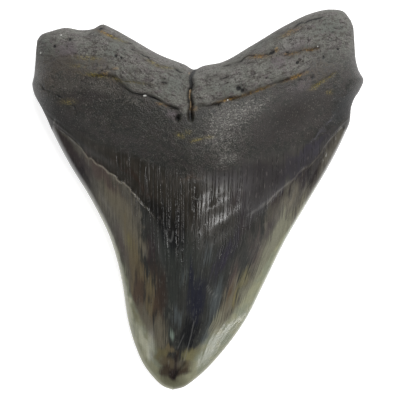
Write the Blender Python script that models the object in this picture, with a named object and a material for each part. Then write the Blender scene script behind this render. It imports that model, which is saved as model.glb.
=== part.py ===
"""Fossil megalodon tooth, one closed solid.

The tooth lies on its flat labial face with the domed lingual face up. +X runs across the tooth, -Y points
to the tip, +Z is up, and the origin is under the middle of its outline, on the surface that it lies on.

The solid is one grid, laid over the tooth twice. Its rows cross the tooth from margin to margin and sag to
the tip like the chevrons of a real tooth: the root's border, the ledge in the root, the neck under the
root and the foot of the enamel are rows. Its columns run from the tip to the root's border, and the middle
one follows the cleft in the root. The upper sheet is the lingual face, the lower one the labial face, and
they meet along the outline.

Drawing sizes are millimetres on a tooth whose longer side measures 127 mm, and MM turns them into metres.
"""

import bpy
import numpy as np

# Driving dimensions, in metres
SLANT_LENGTH = 0.127  # from the tip to the top of the longer root lobe
DRAWN_SLANT_MM = 127.0
MM = SLANT_LENGTH / DRAWN_SLANT_MM

# Levels: shares of the length from the tip, 0, to the root's border, 1
ENAMEL_FOOT = 0.46
NECK = 0.67
LEDGE = 0.86
BORDER = 1.00

# Grid
ROWS = 58
COLUMNS = 56
LABIAL_STRIDE = 2  # the labial sheet keeps every second column
ROW_DRAW = 0.45  # how much closer rows are at the tip and the border than even ones, as a share
COLUMN_DRAW = 0.35  # the same for columns at the margins
LEDGE_HALF_STEP = 0.005  # half the gap between the two rows at the ledge's wall
CLEFT_HALF_WIDTH = 0.8  # from the cleft's bottom to the column on each of its walls
CLEFT_ROWS_FROM = 0.74  # level above which columns draw in to the cleft
CLEFT_ROWS_FADE = 0.06
OUTLINE_SAMPLES = 120
LINE_SAMPLES = 50

# Outline, from the tip up to the corner of each root lobe
TIP = (-7.8, -58.5)
LEFT_MARGIN = [
    TIP, (-10.4, -57.6), (-13.1, -55.4), (-17.1, -49.3), (-21.2, -37.0), (-23.1, -24.7), (-26.5, -12.4),
    (-32.5, -0.2), (-39.9, 12.1), (-44.6, 21.3), (-47.2, 27.5), (-50.2, 33.6), (-50.5, 35.6),
    (-50.0, 38.2), (-49.6, 42.8), (-49.4, 45.9), (-49.1, 49.0),
]
RIGHT_MARGIN = [
    TIP, (-5.0, -57.9), (-1.1, -55.4), (5.3, -49.3), (14.6, -37.0), (20.8, -24.7), (26.8, -12.4),
    (33.9, -0.2), (41.0, 12.1), (45.4, 21.3), (46.8, 24.6), (46.9, 27.5), (47.8, 30.5), (49.7, 33.8),
    (50.5, 36.7), (49.0, 40.0), (48.1, 44.0), (47.8, 49.0), (47.5, 52.7), (46.7, 55.1),
]

# Chevrons, as (level, height where it meets the left margin, the same on the right margin, points left of
# the middle, point on the middle line, points right of the middle)
CHEVRONS = [
    (0.12, -45.0, -45.0, [], (-6.2, -46.6), []),
    (0.27, -28.0, -28.0, [(-13.0, -30.8)], (-4.5, -31.8), [(8.0, -30.6)]),
    (ENAMEL_FOOT, 24.4, 24.1,
     [(-38.3, 17.7), (-32.8, 12.7), (-26.6, 8.1), (-19.0, 1.7), (-11.9, -6.4), (-7.4, -11.4)],
     (-2.2, -13.2),
     [(4.4, -11.8), (11.7, -7.2), (20.0, -0.2), (28.0, 5.7), (35.1, 11.8), (41.4, 18.6)]),
    (NECK, 28.1, 26.9,
     [(-42.0, 23.8), (-34.3, 19.5), (-20.5, 14.0), (-8.0, 8.9)],
     (-1.6, 7.3),
     [(5.6, 8.4), (20.0, 13.4), (36.3, 18.9), (42.4, 22.9)]),
    (LEDGE, 42.2, 43.7,
     [(-45.1, 40.7), (-33.1, 37.8), (-27.6, 37.3), (-21.3, 33.9), (-11.9, 28.7)],
     (-2.6, 26.4),
     [(3.8, 28.0), (14.0, 30.9), (22.6, 33.8), (33.5, 38.9), (41.0, 41.8)]),
    (BORDER, 49.0, 55.1,
     [(-48.0, 50.5), (-44.4, 51.9), (-40.7, 52.8), (-35.2, 52.1), (-31.8, 52.5), (-29.1, 53.8),
      (-26.0, 52.6), (-20.5, 49.6), (-11.3, 44.4), (-4.2, 41.6)],
     (-0.8, 40.0),
     [(0.8, 40.8), (7.1, 42.2), (16.3, 47.3), (27.4, 53.9), (34.5, 57.2), (40.6, 58.4), (44.4, 57.8)]),
]

# Heights above the resting surface at levels along the tooth
LEVELS = [0.00, 0.05, 0.12, 0.27, ENAMEL_FOOT, 0.60, NECK, 0.76, LEDGE, 0.94, BORDER]
OUTLINE_HEIGHT = [2.2, 2.2, 2.4, 2.9, 5.0, 6.2, 6.9, 8.0, 8.8, 8.8, 8.6]
MARGIN_HEIGHT = [3.0, 3.2, 3.6, 4.5, 8.0, 10.2, 11.6, 13.6, 14.8, 14.4, 13.6]
MIDDLE_HEIGHT = [3.0, 5.2, 7.8, 12.8, 17.8, 19.8, 20.6, 24.2, 26.2, 25.0, 22.6]
MARGIN_LIFT = [0.6, 0.8, 0.9, 1.2, 1.7, 1.9, 1.9, 1.6, 0.8, 0.2, 0.2]
MIDDLE_LIFT = [0.3, 0.1, 0.0, 0.0, 0.0, 0.1, 0.4, 1.0, 0.8, 0.2, 0.2]
EDGE_RADIUS = [1.4, 1.4, 1.4, 1.5, 2.6, 3.8, 4.8, 6.4, 7.4, 7.6, 7.6]
FULLNESS = [1.9, 1.9, 1.9, 2.0, 2.0, 2.1, 2.2, 2.3, 2.3, 2.2, 2.2]  # how soon a face reaches its middle height
REST_BAND = 0.35  # the lowest part of the labial face, worn flat where the tooth lies on it

# Relief of the lingual face
LEDGE_DROP = 0.9
LEDGE_WALL = 0.5  # half the width of a step's sloping wall
LEDGE_FADE = 9.0  # how far from a step its two sides draw level again
SPLIT_LEFT = [(-21.7, 45.6), (-17.1, 43.7), (-14.0, 42.2), (-11.3, 39.9), (-7.6, 39.4), (-3.6, 38.2)]
SPLIT_RIGHT = [(8.4, 40.4), (13.6, 42.2), (16.7, 43.1), (20.6, 43.4), (25.4, 45.7), (30.5, 46.6)]
SPLIT_DROP = 0.5
SPLIT_WALL = 0.8
SPLIT_FADE = 4.0
CLEFT = [
    (-0.8, 40.4), (-1.5, 39.4), (-2.7, 38.2), (-2.1, 36.7), (-1.9, 35.2), (-2.8, 33.0), (-2.9, 31.0),
    (-2.4, 29.0), (-2.4, 26.0), (-2.1, 24.1), (-1.9, 22.6),
]
CLEFT_DEPTH = 2.2
CLEFT_WIDTH = 0.6
NECK_DEPTH = 0.7
NECK_WIDTH = 4.0
ENAMEL_LEFT = [(-44.0, 23.0), (-38.3, 17.7), (-32.8, 12.7), (-26.6, 8.1), (-19.0, 1.7), (-11.9, -6.4)]
ENAMEL_RIGHT = [(13.0, -6.0), (20.0, -0.2), (28.0, 5.7), (35.1, 11.8), (41.4, 18.6), (45.0, 23.0)]
ENAMEL_THICKNESS = 0.6
ENAMEL_WALL = 0.8
ENAMEL_FADE = 8.0
LINE_TAPER = 0.15  # share of a line over which its step runs out at each end
PITS = [  # place, width, depth
    ((12.7, 33.3), 1.3, 1.2),
    ((-5.8, 24.4), 0.9, 1.2),
    ((-38.3, 48.4), 1.4, 0.6),
    ((-42.9, 46.2), 1.3, 0.6),
    ((37.5, 42.8), 1.5, 0.6),
    ((29.5, 41.0), 1.2, 0.5),
]
SWELLS = [  # place, width across, width along, height
    ((-45.0, 48.0), 6.0, 5.0, 1.0),  # knob on the left lobe
    ((-29.0, 52.0), 3.0, 2.5, 0.9),  # little knob beside it
    ((-33.5, 51.5), 2.2, 3.5, -1.2),  # dip between the two
    ((-36.0, 43.5), 7.0, 3.0, 0.6),  # swell above the ledge, left
    ((-18.0, 38.0), 7.0, 3.0, 0.5),
    ((21.0, 38.5), 9.0, 3.0, 0.6),  # the same, right
    ((40.0, 48.0), 6.0, 5.0, 0.7),  # knob on the right lobe
    ((46.0, 36.0), 3.0, 4.0, 0.7),  # knuckle on the right margin
    ((-47.0, 35.0), 3.0, 5.0, 0.6),  # the same, left
    ((12.0, 22.0), 12.0, 6.0, 0.5),  # swell under the ledge
    ((-24.0, 25.0), 8.0, 5.0, -0.4),
    ((-12.0, -8.0), 6.0, 9.0, -0.9),  # hollow left of the crown's keel
    ((4.0, 0.0), 7.0, 16.0, 0.7),  # keel of the crown
    ((39.0, 26.0), 5.0, 6.0, -0.8),  # hollow inside the right margin
    ((-40.0, 27.0), 6.0, 6.0, -0.5),  # hollow inside the left margin
]
FOLDS = [  # folds down the crown: share of the width, half width as such a share, height
    (0.33, 0.016, 0.20),
    (0.40, 0.014, -0.20),
    (0.45, 0.014, 0.25),
    (0.49, 0.012, -0.20),
    (0.54, 0.014, 0.25),
    (0.60, 0.014, -0.15),
    (0.65, 0.016, 0.20),
    (0.71, 0.016, -0.15),
]
FOLDS_MIDDLE = 0.44  # level where the folds are highest
FOLDS_REACH = 0.13  # how far up and down the crown they run


def through(places, values, at):
    """The smooth curve that takes the values at those places, read at the numbers in `at`.

    Each gap holds one cubic. Its slope at a place is the harmonic mean of the straight slopes before and
    after it, or level where those turn, so the curve never passes beyond its values.
    """
    places, values = np.asarray(places, float), np.asarray(values, float)
    per_value = (1,) * (values.ndim - 1)
    straight = np.diff(values, axis=0) / np.diff(places).reshape(-1, *per_value)
    before, after = straight[:-1], straight[1:]
    turns = before * after <= 0
    mean = 2 * before * after / np.where(turns, 1, before + after)
    slope = np.concatenate([straight[:1], np.where(turns, 0, mean), straight[-1:]])
    index = np.clip(np.searchsorted(places, at, side="right") - 1, 0, len(places) - 2)
    gap = (places[index + 1] - places[index]).reshape(*np.shape(at), *per_value)
    t = (at - places[index]).reshape(*np.shape(at), *per_value) / gap
    return (
        (1 + 2 * t) * (1 - t) ** 2 * values[index]
        + t * (1 - t) ** 2 * gap * slope[index]
        + t**2 * (3 - 2 * t) * values[index + 1]
        - t**2 * (1 - t) * gap * slope[index + 1]
    )


def run_along(points):
    """The length of the line up to each of its points, with the whole line as 1."""
    steps = np.hypot(*np.diff(np.asarray(points, float), axis=0).T)
    run = np.concatenate([[0.0], np.cumsum(steps)])
    return run / run[-1]


def on_line(points, share):
    """Points on the smooth line through the given ones, at shares of its length."""
    return through(run_along(points), points, share)


def share_at_height(margin, height):
    """How far along a margin, as a share of its length, it reaches that height up the drawing."""
    return np.interp(height, [y for _, y in margin], run_along(margin))


def chevron(left_end, left_points, middle, right_points, right_end, across):
    """One row as a smooth line, read at shares of the width; its middle point is at the share 0.5."""
    left, right = [left_end, *left_points, middle], [middle, *right_points, right_end]
    places = np.concatenate([run_along(left) / 2, 0.5 + run_along(right)[1:] / 2])
    return through(places, left + right[1:], across)


def plan(along, across):
    """Drawing places of the grid: a row for each level in `along`, a column for each share in `across`.

    Between chevrons a column is a smooth curve through them, and each row's two ends, the first and the
    last column, are then drawn onto the margins.
    """
    rows = [np.tile(TIP, (len(across), 1))]
    left_shares, right_shares = [0.0], [0.0]
    for _, left_height, right_height, left_points, middle, right_points in CHEVRONS:
        left_shares.append(share_at_height(LEFT_MARGIN, left_height))
        right_shares.append(share_at_height(RIGHT_MARGIN, right_height))
        left_end = on_line(LEFT_MARGIN, np.array(left_shares[-1]))
        right_end = on_line(RIGHT_MARGIN, np.array(right_shares[-1]))
        rows.append(chevron(left_end, left_points, middle, right_points, right_end, across))
    levels = [0.0] + [row[0] for row in CHEVRONS]
    grid = through(levels, np.array(rows), along)
    left = on_line(LEFT_MARGIN, through(levels, left_shares, along))
    right = on_line(RIGHT_MARGIN, through(levels, right_shares, along))
    fade = across[None, :, None]
    grid += (left - grid[:, 0])[:, None] * (1 - fade) ** 3
    grid += (right - grid[:, -1])[:, None] * fade**3
    return grid


def away_from(line, x, y):
    """Distance of each place from a line, positive on its left side, and the share of the line nearest it."""
    line = np.asarray(line, float)
    start, step = line[:-1], np.diff(line, axis=0)
    offset = np.stack([x, y], -1)[..., None, :] - start
    share = np.clip((offset * step).sum(-1) / (step**2).sum(-1), 0, 1)
    gap = offset - share[..., None] * step
    distance = np.hypot(gap[..., 0], gap[..., 1])
    nearest = distance.argmin(-1)[..., None]
    side = step[:, 0] * offset[..., 1] - step[:, 1] * offset[..., 0]
    run = run_along(line)
    place = run[:-1] + share * np.diff(run)
    pick = [np.take_along_axis(values, nearest, -1)[..., 0] for values in (distance, side, place)]
    return pick[0] * np.where(pick[1] < 0, -1, 1), pick[2]


def level_line(level):
    """The chevron at that level as a fine line, without its ends on the margins."""
    _, _, _, left_points, middle, right_points = next(row for row in CHEVRONS if row[0] == level)
    return on_line([*left_points, middle, *right_points], np.linspace(0, 1, LINE_SAMPLES))


def step_across(line, wall, fade, x, y):
    """A step along a line: 0.5 on its left side and -0.5 on its right one, both level again far from it."""
    distance, share = away_from(line, x, y)
    taper = np.clip(share / LINE_TAPER, 0, 1) * np.clip((1 - share) / LINE_TAPER, 0, 1)
    return 0.5 * np.tanh(distance / wall) * np.exp(-np.abs(distance) / fade) * taper


def bump(offset, width):
    """A smooth bump, 1 at no offset and 0 well past its half width."""
    return np.exp(-((offset / width) ** 2))


def relief(x, y):
    """Height of the lingual face's steps, hollows, cleft, pits and swells over its smooth form."""
    height = LEDGE_DROP * step_across(level_line(LEDGE), LEDGE_WALL, LEDGE_FADE, x, y)
    for split in (SPLIT_LEFT, SPLIT_RIGHT):
        height += SPLIT_DROP * step_across(split, SPLIT_WALL, SPLIT_FADE, x, y)
    for edge in (ENAMEL_LEFT, ENAMEL_RIGHT):
        height -= ENAMEL_THICKNESS * step_across(edge, ENAMEL_WALL, ENAMEL_FADE, x, y)
    height -= NECK_DEPTH * bump(away_from(level_line(NECK), x, y)[0], NECK_WIDTH)
    height -= CLEFT_DEPTH * bump(away_from(CLEFT, x, y)[0], CLEFT_WIDTH)
    for (pit_x, pit_y), width, depth in PITS:
        height -= depth * bump(np.hypot(x - pit_x, y - pit_y), width)
    for (swell_x, swell_y), width, length, rise in SWELLS:
        height += rise * bump(x - swell_x, width) * bump(y - swell_y, length)
    return height


def folds(along, across):
    """Height of the folds that run down the crown, strongest at the foot of the root."""
    height = np.zeros((len(along), len(across)))
    for place, width, rise in FOLDS:
        height += rise * bump(along - FOLDS_MIDDLE, FOLDS_REACH)[:, None] * bump(across - place, width)
    return height


def outline():
    """The closed outline, as a fine line round the tooth."""
    share = np.linspace(0, 1, OUTLINE_SAMPLES)
    border = plan(np.array([BORDER]), share)[0]
    left, right = on_line(LEFT_MARGIN, share), on_line(RIGHT_MARGIN, share)
    return np.concatenate([left[:-1], border[:-1], right[::-1]])


def rounded(distance, radius):
    """A quarter round: 0 on the outline, 1 from `radius` inwards."""
    return np.sqrt(1 - (1 - np.clip(distance / radius, 0, 1)) ** 2)


def heights(grid, along, across):
    """Heights of the lingual and the labial face over the grid.

    Each face goes from its margin height to its middle one across a row, and both turn to the outline's
    height in a quarter round.
    """
    x, y = grid[..., 0], grid[..., 1]
    rim, margin, middle, margin_lift, middle_lift, radius, fullness = (
        through(LEVELS, values, along)[:, None]
        for values in (
            OUTLINE_HEIGHT, MARGIN_HEIGHT, MIDDLE_HEIGHT, MARGIN_LIFT, MIDDLE_LIFT, EDGE_RADIUS, FULLNESS,
        )
    )
    inwards = 1 - np.abs(2 * across - 1)[None, :]
    full = 1 - (1 - inwards) ** fullness
    edge = rounded(np.abs(away_from(outline(), x, y)[0]), radius)
    lingual = margin + (middle - margin) * full + relief(x, y) + folds(along, across)
    labial = margin_lift + (middle_lift - margin_lift) * full
    lingual = rim + (lingual - rim) * edge
    labial = rim + (labial - rim) * edge
    return lingual - REST_BAND, np.maximum(labial, REST_BAND) - REST_BAND


def drawn_to_ends(count, draw):
    """Shares from 0 to 1, closer at both ends than even ones by the share `draw`."""
    even = np.linspace(0, 1, count + 1)
    return even - draw * np.sin(2 * np.pi * even) / (2 * np.pi)


def row_places():
    """Levels with a row, two of them drawn in to the ledge's wall."""
    places = drawn_to_ends(ROWS, ROW_DRAW)[1:]
    nearest = np.searchsorted(places, LEDGE)
    places[nearest - 1] = LEDGE - LEDGE_HALF_STEP
    places[nearest] = LEDGE + LEDGE_HALF_STEP
    return places


def drawn_to_cleft(grid, along):
    """The grid with its middle three columns moved onto the cleft and its two walls."""
    middle = COLUMNS // 2
    pull = np.clip((along - CLEFT_ROWS_FROM) / CLEFT_ROWS_FADE, 0, 1)[:, None]
    cleft_x, cleft_y = np.array(CLEFT[::-1]).T
    bottom = grid[:, middle].copy()
    bottom[:, 0] = np.interp(bottom[:, 1], cleft_y, cleft_x)
    for side in (-1, 0, 1):
        wall = bottom + [side * CLEFT_HALF_WIDTH, 0]
        grid[:, middle + side] += pull * (wall - grid[:, middle + side])
    return grid


def quads(index):
    """The four-cornered faces of a grid of point numbers, counter-clockwise from above."""
    corners = [index[:-1, :-1], index[:-1, 1:], index[1:, 1:], index[1:, :-1]]
    return np.stack(corners, -1).reshape(-1, 4).tolist()


def tooth_mesh():
    """Points in metres and faces of the closed tooth."""
    along, across = row_places(), drawn_to_ends(COLUMNS, COLUMN_DRAW)
    grid = drawn_to_cleft(plan(along, across), along)
    lingual, labial = heights(grid, along, across)
    kept = np.arange(0, COLUMNS + 1, LABIAL_STRIDE)

    upper = np.dstack([grid, lingual]).reshape(-1, 3)
    lower = np.dstack([grid, labial])[:-1, kept[1:-1]].reshape(-1, 3)
    tip = [[*TIP, OUTLINE_HEIGHT[0] - REST_BAND]]
    points = np.concatenate([tip, upper, lower])

    # Rows of point numbers, from the one next to the tip. The labial rows end on the lingual sheet's
    # margins, and their last row is the root's border itself.
    upper_index = 1 + np.arange(ROWS * (COLUMNS + 1)).reshape(ROWS, COLUMNS + 1)
    lower_index = upper_index[:, kept].copy()
    lower_index[:-1, 1:-1] = 1 + len(upper) + np.arange(len(lower)).reshape(ROWS - 1, -1)

    faces = quads(upper_index)
    faces += [face[::-1] for face in quads(lower_index[:-1])]
    faces += [[0, right, left] for left, right in zip(upper_index[0, :-1], upper_index[0, 1:])]
    faces += [[0, left, right] for left, right in zip(lower_index[0, :-1], lower_index[0, 1:])]
    for i in range(len(kept) - 1):
        border = upper_index[-1, kept[i] : kept[i + 1] + 1]
        faces.append([lower_index[-2, i + 1], lower_index[-2, i], *border])
    return centred(points) * MM, faces


def centred(points):
    """The points moved so that the outline's middle is over the origin and the lowest is at 0."""
    low, high = points.min(0), points.max(0)
    return points - [(low[0] + high[0]) / 2, (low[1] + high[1]) / 2, low[2]]


def fossil_material():
    """Dark grey, softly shining fossil tooth."""
    material = bpy.data.materials.new("fossil")
    material.use_nodes = True
    surface = material.node_tree.nodes["Principled BSDF"]
    surface.inputs["Base Color"].default_value = (0.060, 0.057, 0.052, 1.0)
    surface.inputs["Roughness"].default_value = 0.45
    surface.inputs["Metallic"].default_value = 0.0
    return material


def make_tooth():
    points, faces = tooth_mesh()
    mesh = bpy.data.meshes.new("tooth")
    mesh.from_pydata(points.tolist(), [], faces)
    mesh.validate()
    mesh.shade_smooth()
    mesh.materials.append(fossil_material())
    tooth = bpy.data.objects.new("tooth", mesh)
    bpy.context.scene.collection.objects.link(tooth)
    return tooth


for old in list(bpy.data.objects):
    bpy.data.objects.remove(old)
make_tooth()
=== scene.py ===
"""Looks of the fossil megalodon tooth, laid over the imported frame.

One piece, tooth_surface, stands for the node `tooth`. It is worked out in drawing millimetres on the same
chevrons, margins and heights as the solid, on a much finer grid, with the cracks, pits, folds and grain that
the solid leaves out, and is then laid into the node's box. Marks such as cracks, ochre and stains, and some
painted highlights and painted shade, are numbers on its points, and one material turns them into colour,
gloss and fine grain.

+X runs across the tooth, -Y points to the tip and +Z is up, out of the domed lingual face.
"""

import math
from types import SimpleNamespace

import bpy
import numpy as np
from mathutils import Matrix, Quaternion, Vector


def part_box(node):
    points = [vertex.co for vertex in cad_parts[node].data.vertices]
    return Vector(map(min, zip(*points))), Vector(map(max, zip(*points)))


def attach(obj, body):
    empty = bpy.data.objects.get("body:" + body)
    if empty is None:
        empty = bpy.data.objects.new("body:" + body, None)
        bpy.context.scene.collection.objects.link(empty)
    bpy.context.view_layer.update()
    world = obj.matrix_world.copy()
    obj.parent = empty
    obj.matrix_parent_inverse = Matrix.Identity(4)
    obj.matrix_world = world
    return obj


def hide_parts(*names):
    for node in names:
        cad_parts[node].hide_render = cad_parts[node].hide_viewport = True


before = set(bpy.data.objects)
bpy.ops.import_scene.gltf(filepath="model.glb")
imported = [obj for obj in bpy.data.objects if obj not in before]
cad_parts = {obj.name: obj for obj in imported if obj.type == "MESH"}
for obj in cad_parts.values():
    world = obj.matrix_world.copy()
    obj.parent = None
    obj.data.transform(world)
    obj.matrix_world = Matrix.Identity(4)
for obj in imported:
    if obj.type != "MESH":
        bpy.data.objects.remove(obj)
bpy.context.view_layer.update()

# Levels: shares of the length from the tip, 0, to the root's border, 1
ENAMEL_FOOT = 0.46
NECK = 0.67
LEDGE = 0.86
BORDER = 1.00
LABIAL_NECK = 0.74  # where the enamel of the labial face ends

# Grid
ROWS = 264
COLUMNS = 244
LABIAL_STRIDE = 2  # the labial sheet keeps every second column
ROW_SHARES = ([0.0, 0.28, 0.48, 1.0], [0.0, ENAMEL_FOOT, NECK, BORDER])  # share of the rows, level reached
MARGIN_DRAW = 0.05  # how much closer the columns are at the margins
MIDDLE_DRAW = 0.25  # how much closer they are both there and in the middle
LAST_ROWS = 6  # rows drawn in to the root's border, where it rounds over
LINE_SAMPLES = 120
ROW_SAMPLES = 600  # in each half of a row
ROW_LENGTH, COLUMN_LENGTH = 100, 98  # near enough in millimetres, for the grain that follows the grid

# Outline in millimetres, from the tip up to the corner of each root lobe
TIP = (-7.8, -58.5)
LEFT_MARGIN = [
    TIP, (-10.4, -57.6), (-13.1, -55.4), (-17.5, -49.3), (-21.6, -37.0), (-23.5, -24.7), (-26.7, -12.4),
    (-32.5, -0.2), (-39.9, 12.1), (-44.6, 21.3), (-47.2, 27.5), (-50.2, 33.6), (-50.5, 35.6),
    (-50.0, 38.2), (-49.6, 42.8), (-49.4, 45.9), (-49.1, 49.0),
]
RIGHT_MARGIN = [
    TIP, (-5.0, -57.9), (-1.1, -55.4), (5.3, -49.3), (14.6, -37.0), (20.8, -24.7), (26.8, -12.4),
    (33.9, -0.2), (41.0, 12.1), (45.4, 21.3), (46.5, 24.6), (46.6, 27.5), (47.4, 30.5), (49.4, 33.8),
    (50.5, 36.7), (49.0, 40.0), (48.1, 44.0), (47.8, 49.0), (47.5, 52.7), (46.7, 55.1),
]
LEDGE_LEFT = [
    (-45.1, 40.7), (-33.4, 37.9), (-30.9, 37.0), (-27.6, 37.1), (-25.1, 37.0), (-23.6, 35.8),
    (-22.3, 34.2), (-19.9, 32.4), (-18.0, 31.5), (-14.4, 30.9), (-11.9, 29.8), (-10.4, 28.9),
    (-8.5, 27.9), (-7.0, 27.5), (-4.2, 26.4),
]
LEDGE_RIGHT = [
    (0.4, 27.8), (3.2, 28.0), (4.9, 28.5), (7.0, 29.1), (8.9, 30.0), (10.8, 30.3), (12.6, 30.7),
    (15.0, 31.7), (17.1, 32.4), (19.4, 33.3), (21.7, 34.3), (24.2, 35.3), (26.5, 35.9), (29.1, 36.9),
    (31.1, 37.8), (32.9, 39.3), (41.0, 41.8),
]
ENAMEL_LEFT = [
    (-44.0, 23.0), (-38.3, 18.9), (-35.1, 15.9), (-33.3, 13.2), (-31.5, 12.4), (-30.5, 11.3), (-28.5, 10.1),
    (-26.7, 8.6), (-25.2, 7.8), (-24.2, 6.6), (-22.1, 5.1), (-20.3, 3.5), (-18.6, 1.7), (-17.0, -0.6),
    (-15.3, -2.1), (-11.9, -6.4),
]
ENAMEL_RIGHT = [
    (13.0, -6.0), (20.0, -0.8), (22.0, 0.7), (23.3, 2.3), (25.3, 3.7), (27.4, 5.6), (29.0, 7.0), (30.7, 8.9),
    (32.3, 10.1), (33.9, 10.8), (34.9, 11.9), (36.5, 13.8), (38.1, 16.2), (40.0, 18.8), (43.2, 22.6),
]

# Foot of the right flank, a little within its margin
RIGHT_FOOT = [(24.7, -12.0), (28.2, -6.0), (34.1, 4.0), (38.6, 12.0), (41.6, 18.0), (43.0, 21.0)]

# Chevrons, as (level, height where it meets the left margin, the same on the right margin, points left of
# the middle, point on the middle line, points right of the middle)
CHEVRONS = [
    (0.12, -45.0, -45.0, [], (-6.2, -46.6), []),
    (0.27, -28.0, -28.0, [(-13.0, -30.8)], (-4.5, -31.8), [(8.0, -30.6)]),
    (ENAMEL_FOOT, 24.4, 24.1,
     [(-38.6, 18.6), (-31.4, 12.0), (-24.0, 6.4), (-16.4, -0.9), (-9.0, -9.6)],
     (-2.2, -13.2),
     [(5.0, -11.4), (13.4, -5.8), (22.2, 1.0), (30.6, 8.6), (37.2, 15.2), (41.8, 20.4)]),
    (NECK, 28.1, 26.9,
     [(-42.0, 23.8), (-34.3, 19.5), (-20.5, 14.0), (-8.0, 8.9)],
     (-1.6, 7.3),
     [(5.6, 8.4), (20.0, 13.4), (36.3, 18.9), (42.4, 22.9)]),
    (LEDGE, 42.2, 43.7, LEDGE_LEFT, (-2.2, 26.6), LEDGE_RIGHT),
    (BORDER, 49.0, 55.1,
     [(-48.0, 50.5), (-44.4, 51.9), (-40.7, 52.8), (-35.2, 52.1), (-31.8, 52.5), (-29.1, 53.8),
      (-26.0, 52.6), (-20.5, 49.6), (-11.3, 44.4), (-4.2, 41.6)],
     (-0.8, 40.0),
     [(0.8, 40.8), (7.1, 42.2), (16.3, 47.3), (27.4, 53.9), (34.5, 57.2), (40.6, 58.4), (44.4, 57.8)]),
]

# Heights above the resting surface at levels along the tooth, in millimetres
LEVELS = [0.00, 0.05, 0.12, 0.27, ENAMEL_FOOT, 0.60, NECK, 0.76, LEDGE, 0.94, BORDER]
OUTLINE_HEIGHT = [2.2, 2.2, 2.4, 3.3, 7.2, 9.0, 9.4, 9.2, 8.8, 8.8, 8.6]
MARGIN_HEIGHT = [3.0, 3.2, 3.6, 6.0, 11.5, 13.0, 13.4, 14.0, 14.8, 14.4, 13.6]
MIDDLE_HEIGHT = [3.0, 5.2, 7.8, 12.8, 17.8, 19.8, 20.6, 24.2, 26.2, 25.0, 22.6]
MARGIN_LIFT = [0.6, 0.8, 0.9, 1.2, 1.7, 1.9, 1.9, 1.6, 0.8, 0.2, 0.2]
MIDDLE_LIFT = [0.3, 0.1, 0.0, 0.0, 0.0, 0.1, 0.4, 1.0, 0.8, 0.2, 0.2]
EDGE_RADIUS = [1.4, 1.4, 1.4, 1.5, 1.8, 2.3, 3.2, 5.8, 7.4, 7.6, 7.6]
FULLNESS = [1.9, 1.9, 1.9, 1.7, 1.35, 1.4, 1.6, 2.0, 2.3, 2.2, 2.2]  # how soon the middle height is reached
REST_BAND = 0.35  # the lowest part of the labial face, worn flat where the tooth lies on it

# Swells and hollows of the lingual face, as (x, y, width across, width along, height)
SWELLS = [
    (-45, 48, 6, 5, 1),  # knob on the left lobe
    (-29, 52, 3, 2.5, 0.9),  # little knob beside it
    (-33.5, 51.5, 2.2, 3.5, -1.2),  # dip between the two
    (-36, 43.5, 7, 3, 0.6),  # swell above the ledge, left
    (-18, 38, 7, 3, 0.5),
    (21, 38.5, 9, 3, 0.6),  # the same, right
    (40, 48, 6, 5, 0.7),  # knob on the right lobe
    (46, 36, 3, 4, 0.7),  # knuckle on the right margin
    (-47, 35, 3, 5, 0.6),  # the same, left
    (12, 22, 12, 6, 0.5),  # swell under the ledge
    (-24, 25, 8, 5, -0.4),
    (-12, -8, 6, 9, -0.9),  # hollow left of the crown's keel
    (4, 0, 7, 16, 0.7),  # keel of the crown
    (10, -0.5, 5.5, 9, 0.5),  # its right shoulder
    (39, 26, 5, 6, -0.8),  # hollow inside the right margin
    (-40, 27, 6, 6, -0.5),  # hollow inside the left margin
]

# Waves of the crown: their direction, where one rises, the next after it, height, and the middle of them all
WAVE_RUN = (0.515, -0.857)
WAVE_START, WAVE_LENGTH, WAVE_HEIGHT = 2.7, 5.7, 0.10
WAVE_MIDDLE, WAVE_REACH = (6.5, -2.0), 9.0

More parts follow.
